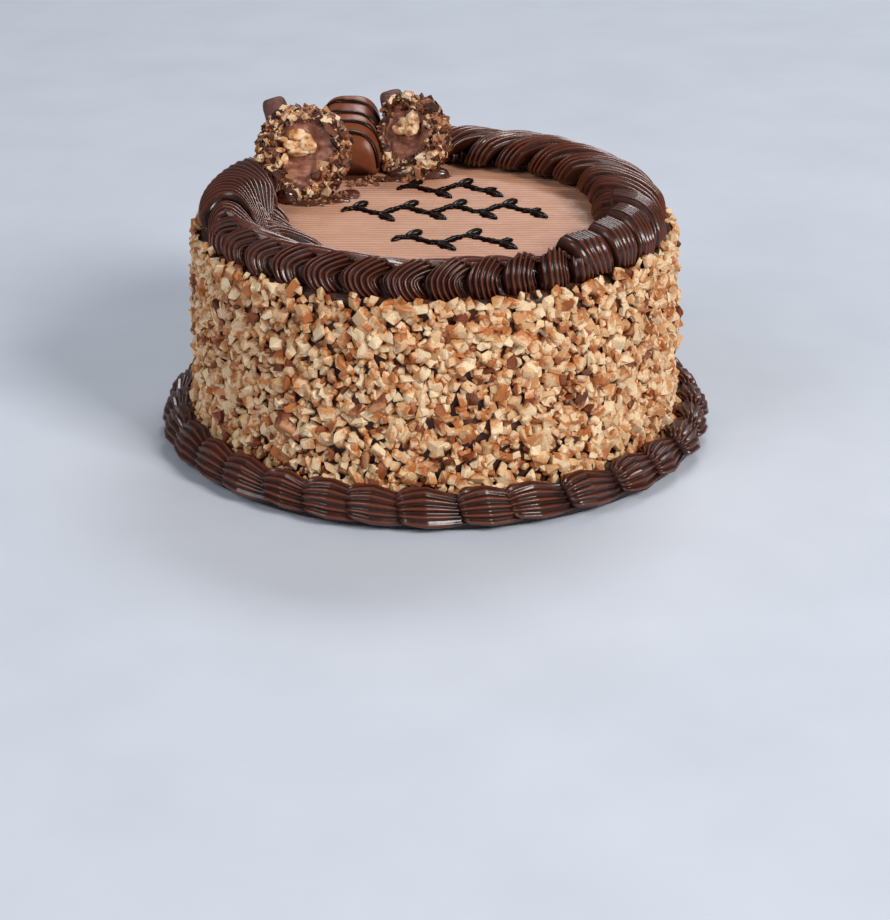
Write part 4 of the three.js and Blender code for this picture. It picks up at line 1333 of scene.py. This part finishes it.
def stick_roll(foot, top, seed):
    """A rolled stick: a round section carried up a leaning line, its top edge eased and its middle slightly
    sunk, with faint rolling marks. The profile gives its radius at shares of its length."""
    foot, top = np.array(foot), np.array(top)
    length = np.linalg.norm(top - foot)
    axis = (top - foot) / length
    first = unit(np.cross(axis, np.array([0.0, 1.0, 0.3])))
    second = np.cross(axis, first)
    line = smooth_line(STICK_PROFILE, STICK_STATIONS)
    turn = even_turns(STICK_AROUND)
    ring = line[:, :1] * (1.0 + 0.012 * np.sin(2 * turn + 9 * line[:, 1:]) + 0.008 * np.sin(5 * turn + seed))
    grid = foot + first * (ring * np.cos(turn))[..., None] + second * (ring * np.sin(turn))[..., None]
    flat = (grid + axis * (line[:, 1:, None] * length)).reshape(-1, 3)
    rough = 0.22 * (lattice_noise(flat, 1.3, seed) - 0.5)
    flat = flat + rough[:, None] * unit(flat - foot - axis * ((flat - foot) @ axis)[:, None] + 1e-6)
    points = settle(close_ends(flat.reshape(STICK_STATIONS, STICK_AROUND, 3)))
    return as_part(points, STICK_STATIONS, STICK_AROUND)


SMEARS = (
    ((-44.0, 13.4, 74.5), (7.5, 2.6, 1.0), 87),
    ((-35.0, 17.0, 74.5), (6.0, 3.2, 0.9), 88),
    ((-29.5, 24.0, 74.5), (3.4, 5.5, 0.8), 89),
    ((-30.0, 43.0, 74.5), (9.5, 3.0, 0.8), 90),
    ((-18.0, 41.5, 74.5), (7.5, 2.6, 0.9), 92),
)


def ganache_mound(centre, radii, seed):
    """A blob of ganache: a ball stretched by radii, wobbling, flat on the icing."""
    rows = 34
    columns = 56
    ways = spun_ball(rows, columns)
    wobble = 1.0 + 0.22 * (lattice_noise(ways, 0.55, seed) - 0.5)
    points = close_ends((ways * wobble[:, None] * np.array(radii)).reshape(rows, columns, 3))
    return as_part(settle(points + np.array(centre)), rows, columns)


# ---------------------------------------------------------------- the cake itself


SIDE_PROFILE = (
    (79.0, 0.0), (80.4, 0.3), (80.6, 3.0), (80.0, 36.0), (79.3, 66.0), (79.1, 70.4), (77.6, CORE_HEIGHT),
)
NUT_KINDS = (
    ("pale", -0.08, ((240, 212, 172), (216, 174, 128), (210, 146, 92), (180, 110, 60))),
    ("toasted", 0.08, ((232, 192, 146), (204, 150, 98), (190, 114, 58), (148, 78, 34))),
    ("skin", 0.3, ((196, 138, 92), (160, 98, 56), (128, 62, 28), (92, 42, 18))),
)
CRUMB_KINDS = (
    ("pale", 760, ((244, 216, 180), (220, 178, 134), (196, 132, 82), (150, 88, 46))),
    ("milk", 1150, ((176, 122, 90), (142, 88, 60), (116, 64, 40), (90, 46, 26))),
    ("dark", 850, ((92, 50, 32), (66, 32, 18), (58, 26, 14), (40, 15, 7))),
)
MOUNDS = (
    ("dab", ((-50.6, 15.2, 76.4), (3.5, 3.3, 3.1), 85)),
    ("bed", ((-5.4, 45.2, 74.7), (11.5, 4.0, 3.6), 86)),
)
STICKS = (
    (
        "left", (-49.6, 44.6, 75.2), (-57.5, 50.0, 101.6), 83,
        ((82, 47, 40), (120, 80, 72), (148, 114, 105)), -0.05,
    ),
    (
        "right", (-10.6, 67.0, 75.2), (-16.6, 70.5, 98.8), 84,
        ((84, 52, 45), (124, 90, 82), (180, 160, 158)), 0.05,
    ),
)


def build_side():
    """The icing under the nuts and the three kinds of chopped nuts."""
    rows = 60
    columns = 180
    line = smooth_line(SIDE_PROFILE, rows)
    flat = spun(line[:, 0], line[:, 1], columns)
    lump = lattice_noise(flat, 5.0, 3) - 0.5
    flat[:, :2] *= (1.0 + 0.9 * lump / 80.0)[:, None]
    core = as_part(close_ends(flat.reshape(rows, columns, 3)), rows, columns)
    place_mesh("coating", core, core_finish(), "nut_coat", ("cake_body",))
    places, outs, sizes, rng = nut_field()
    kind = nut_kind(rng, len(places))
    for k, (label, more_roast, tints) in enumerate(NUT_KINDS):
        own = kind == k
        points, faces, shade, roast = chips(places[own], outs[own], sizes[own], rng)
        part = (points, faces, shade, roast + more_roast)
        finish = nut_finish(f"nut_{label}", *tints)
        place_mesh(f"nuts_{label}", part, finish, "nut_coat", ("cake_body",), CHIP_VALUES, CHIP_EDGE)


def build_borders():
    """The two borders: the top one in a front and a back piece, each border with its buried ring."""
    back_ring = buried_ring(TOP_RING, TOP_BURIED, RING_RIDGES, 7 * RING_RIDGES, 18)
    foot_ring = buried_ring(BOTTOM_RING, BOTTOM_BURIED, 0, 192, 14)
    dark = piping_finish()
    for name, parts, node in (
        ("top_border_front", front_run(), "top_border"),
        ("top_border_back", [*back_run(), back_ring], "top_border"),
        ("bottom_border_shells", [*bottom_run(), foot_ring], "bottom_border"),
    ):
        place_mesh(name, gather(parts), dark, "dark_piping", (node,), ("crest",))


def build_top():
    """The icing disc and the vines piped on it."""
    place_mesh("combed_icing", combed_disc(), icing_finish(), "milk_icing", ("top_icing",), ("crest",))
    rng = np.random.default_rng(71)
    parts = []
    for row in VINE_ROWS:
        parts.append(vine_stem(row, rng))
        parts += [vine_leaf(row, number, rng) for number in range(2 * row[3])]
    place_mesh("piped_vines", gather(parts), vine_finish(), "milk_icing", ("top_icing",))


def build_pralines():
    """The two halved pralines and the crumbs round their feet."""
    cream, crust, kernel = cream_finish(), crust_finish(), kernel_finish()
    crumbs = {label: nut_finish(f"crumb_{label}", *tints) for label, _, tints in CRUMB_KINDS}
    slot = "praline_crust"
    for side, praline in (("left", PRALINE_LEFT), ("right", PRALINE_RIGHT)):
        shell = (f"praline_crust_{side}",)
        place_mesh(f"crust_{side}", crust_bowl(praline), crust, slot, shell, ("crag",))
        place_mesh(f"cream_{side}", cream_face(praline), cream, "praline_cream", (f"praline_cream_{side}",))
        nut = kernel_pieces(praline)
        place_mesh(f"kernel_{side}", nut, kernel, "nut_kernel", (f"praline_kernel_{side}",))
        for kind, (label, count, _) in enumerate(CRUMB_KINDS):
            flakes = crust_crumbs(praline, count, kind)
            place_mesh(f"crumbs_{label}_{side}", flakes, crumbs[label], slot, shell, CHIP_VALUES, CHIP_EDGE)
    place_mesh("crumbs_fallen", loose_crumbs(), crumbs["milk"], slot, (), CHIP_VALUES, CHIP_EDGE)


def build_bar_and_sticks():
    """The wafer bar with its drizzle, the rolled sticks and the ganache."""
    place_mesh("bar_shell", bar_body(), shell_chocolate_finish(), "milk_chocolate", ("wafer_bar",))
    lines = gather([drizzle_line(place, k) for k, place in enumerate(DRIZZLE_PLACES)])
    place_mesh("bar_drizzle", lines, drizzle_finish(), "milk_chocolate", ("wafer_bar",))
    for side, foot, top, seed, tints, share in STICKS:
        finish = stick_finish(f"stick_{side}_chocolate", *tints, share)
        place_mesh(f"roll_{side}", stick_roll(foot, top, seed), finish, "stick_chocolate", (f"stick_{side}",))
    gloss = ganache_finish()
    for name, mound in MOUNDS:
        place_mesh(name, ganache_mound(*mound), gloss, "ganache", (f"ganache_{name}",))
    place_mesh("smear", gather([ganache_mound(*smear) for smear in SMEARS]), gloss, "ganache")


FLOOR_REACH = 4000.0
FLOOR_DROP = 0.4


def build_floor():
    """The table: a wide flat square just under the cake."""
    corners = np.array([(x, y, -FLOOR_DROP) for x, y in ((-1, -1), (1, -1), (1, 1), (-1, 1))])
    points = corners * (FLOOR_REACH, FLOOR_REACH, 1.0)
    place_mesh("table_top", (points, np.array([(0, 1, 2), (0, 2, 3)])), floor_finish(), None)


build_floor()
build_side()
build_borders()
build_top()
build_pralines()
build_bar_and_sticks()
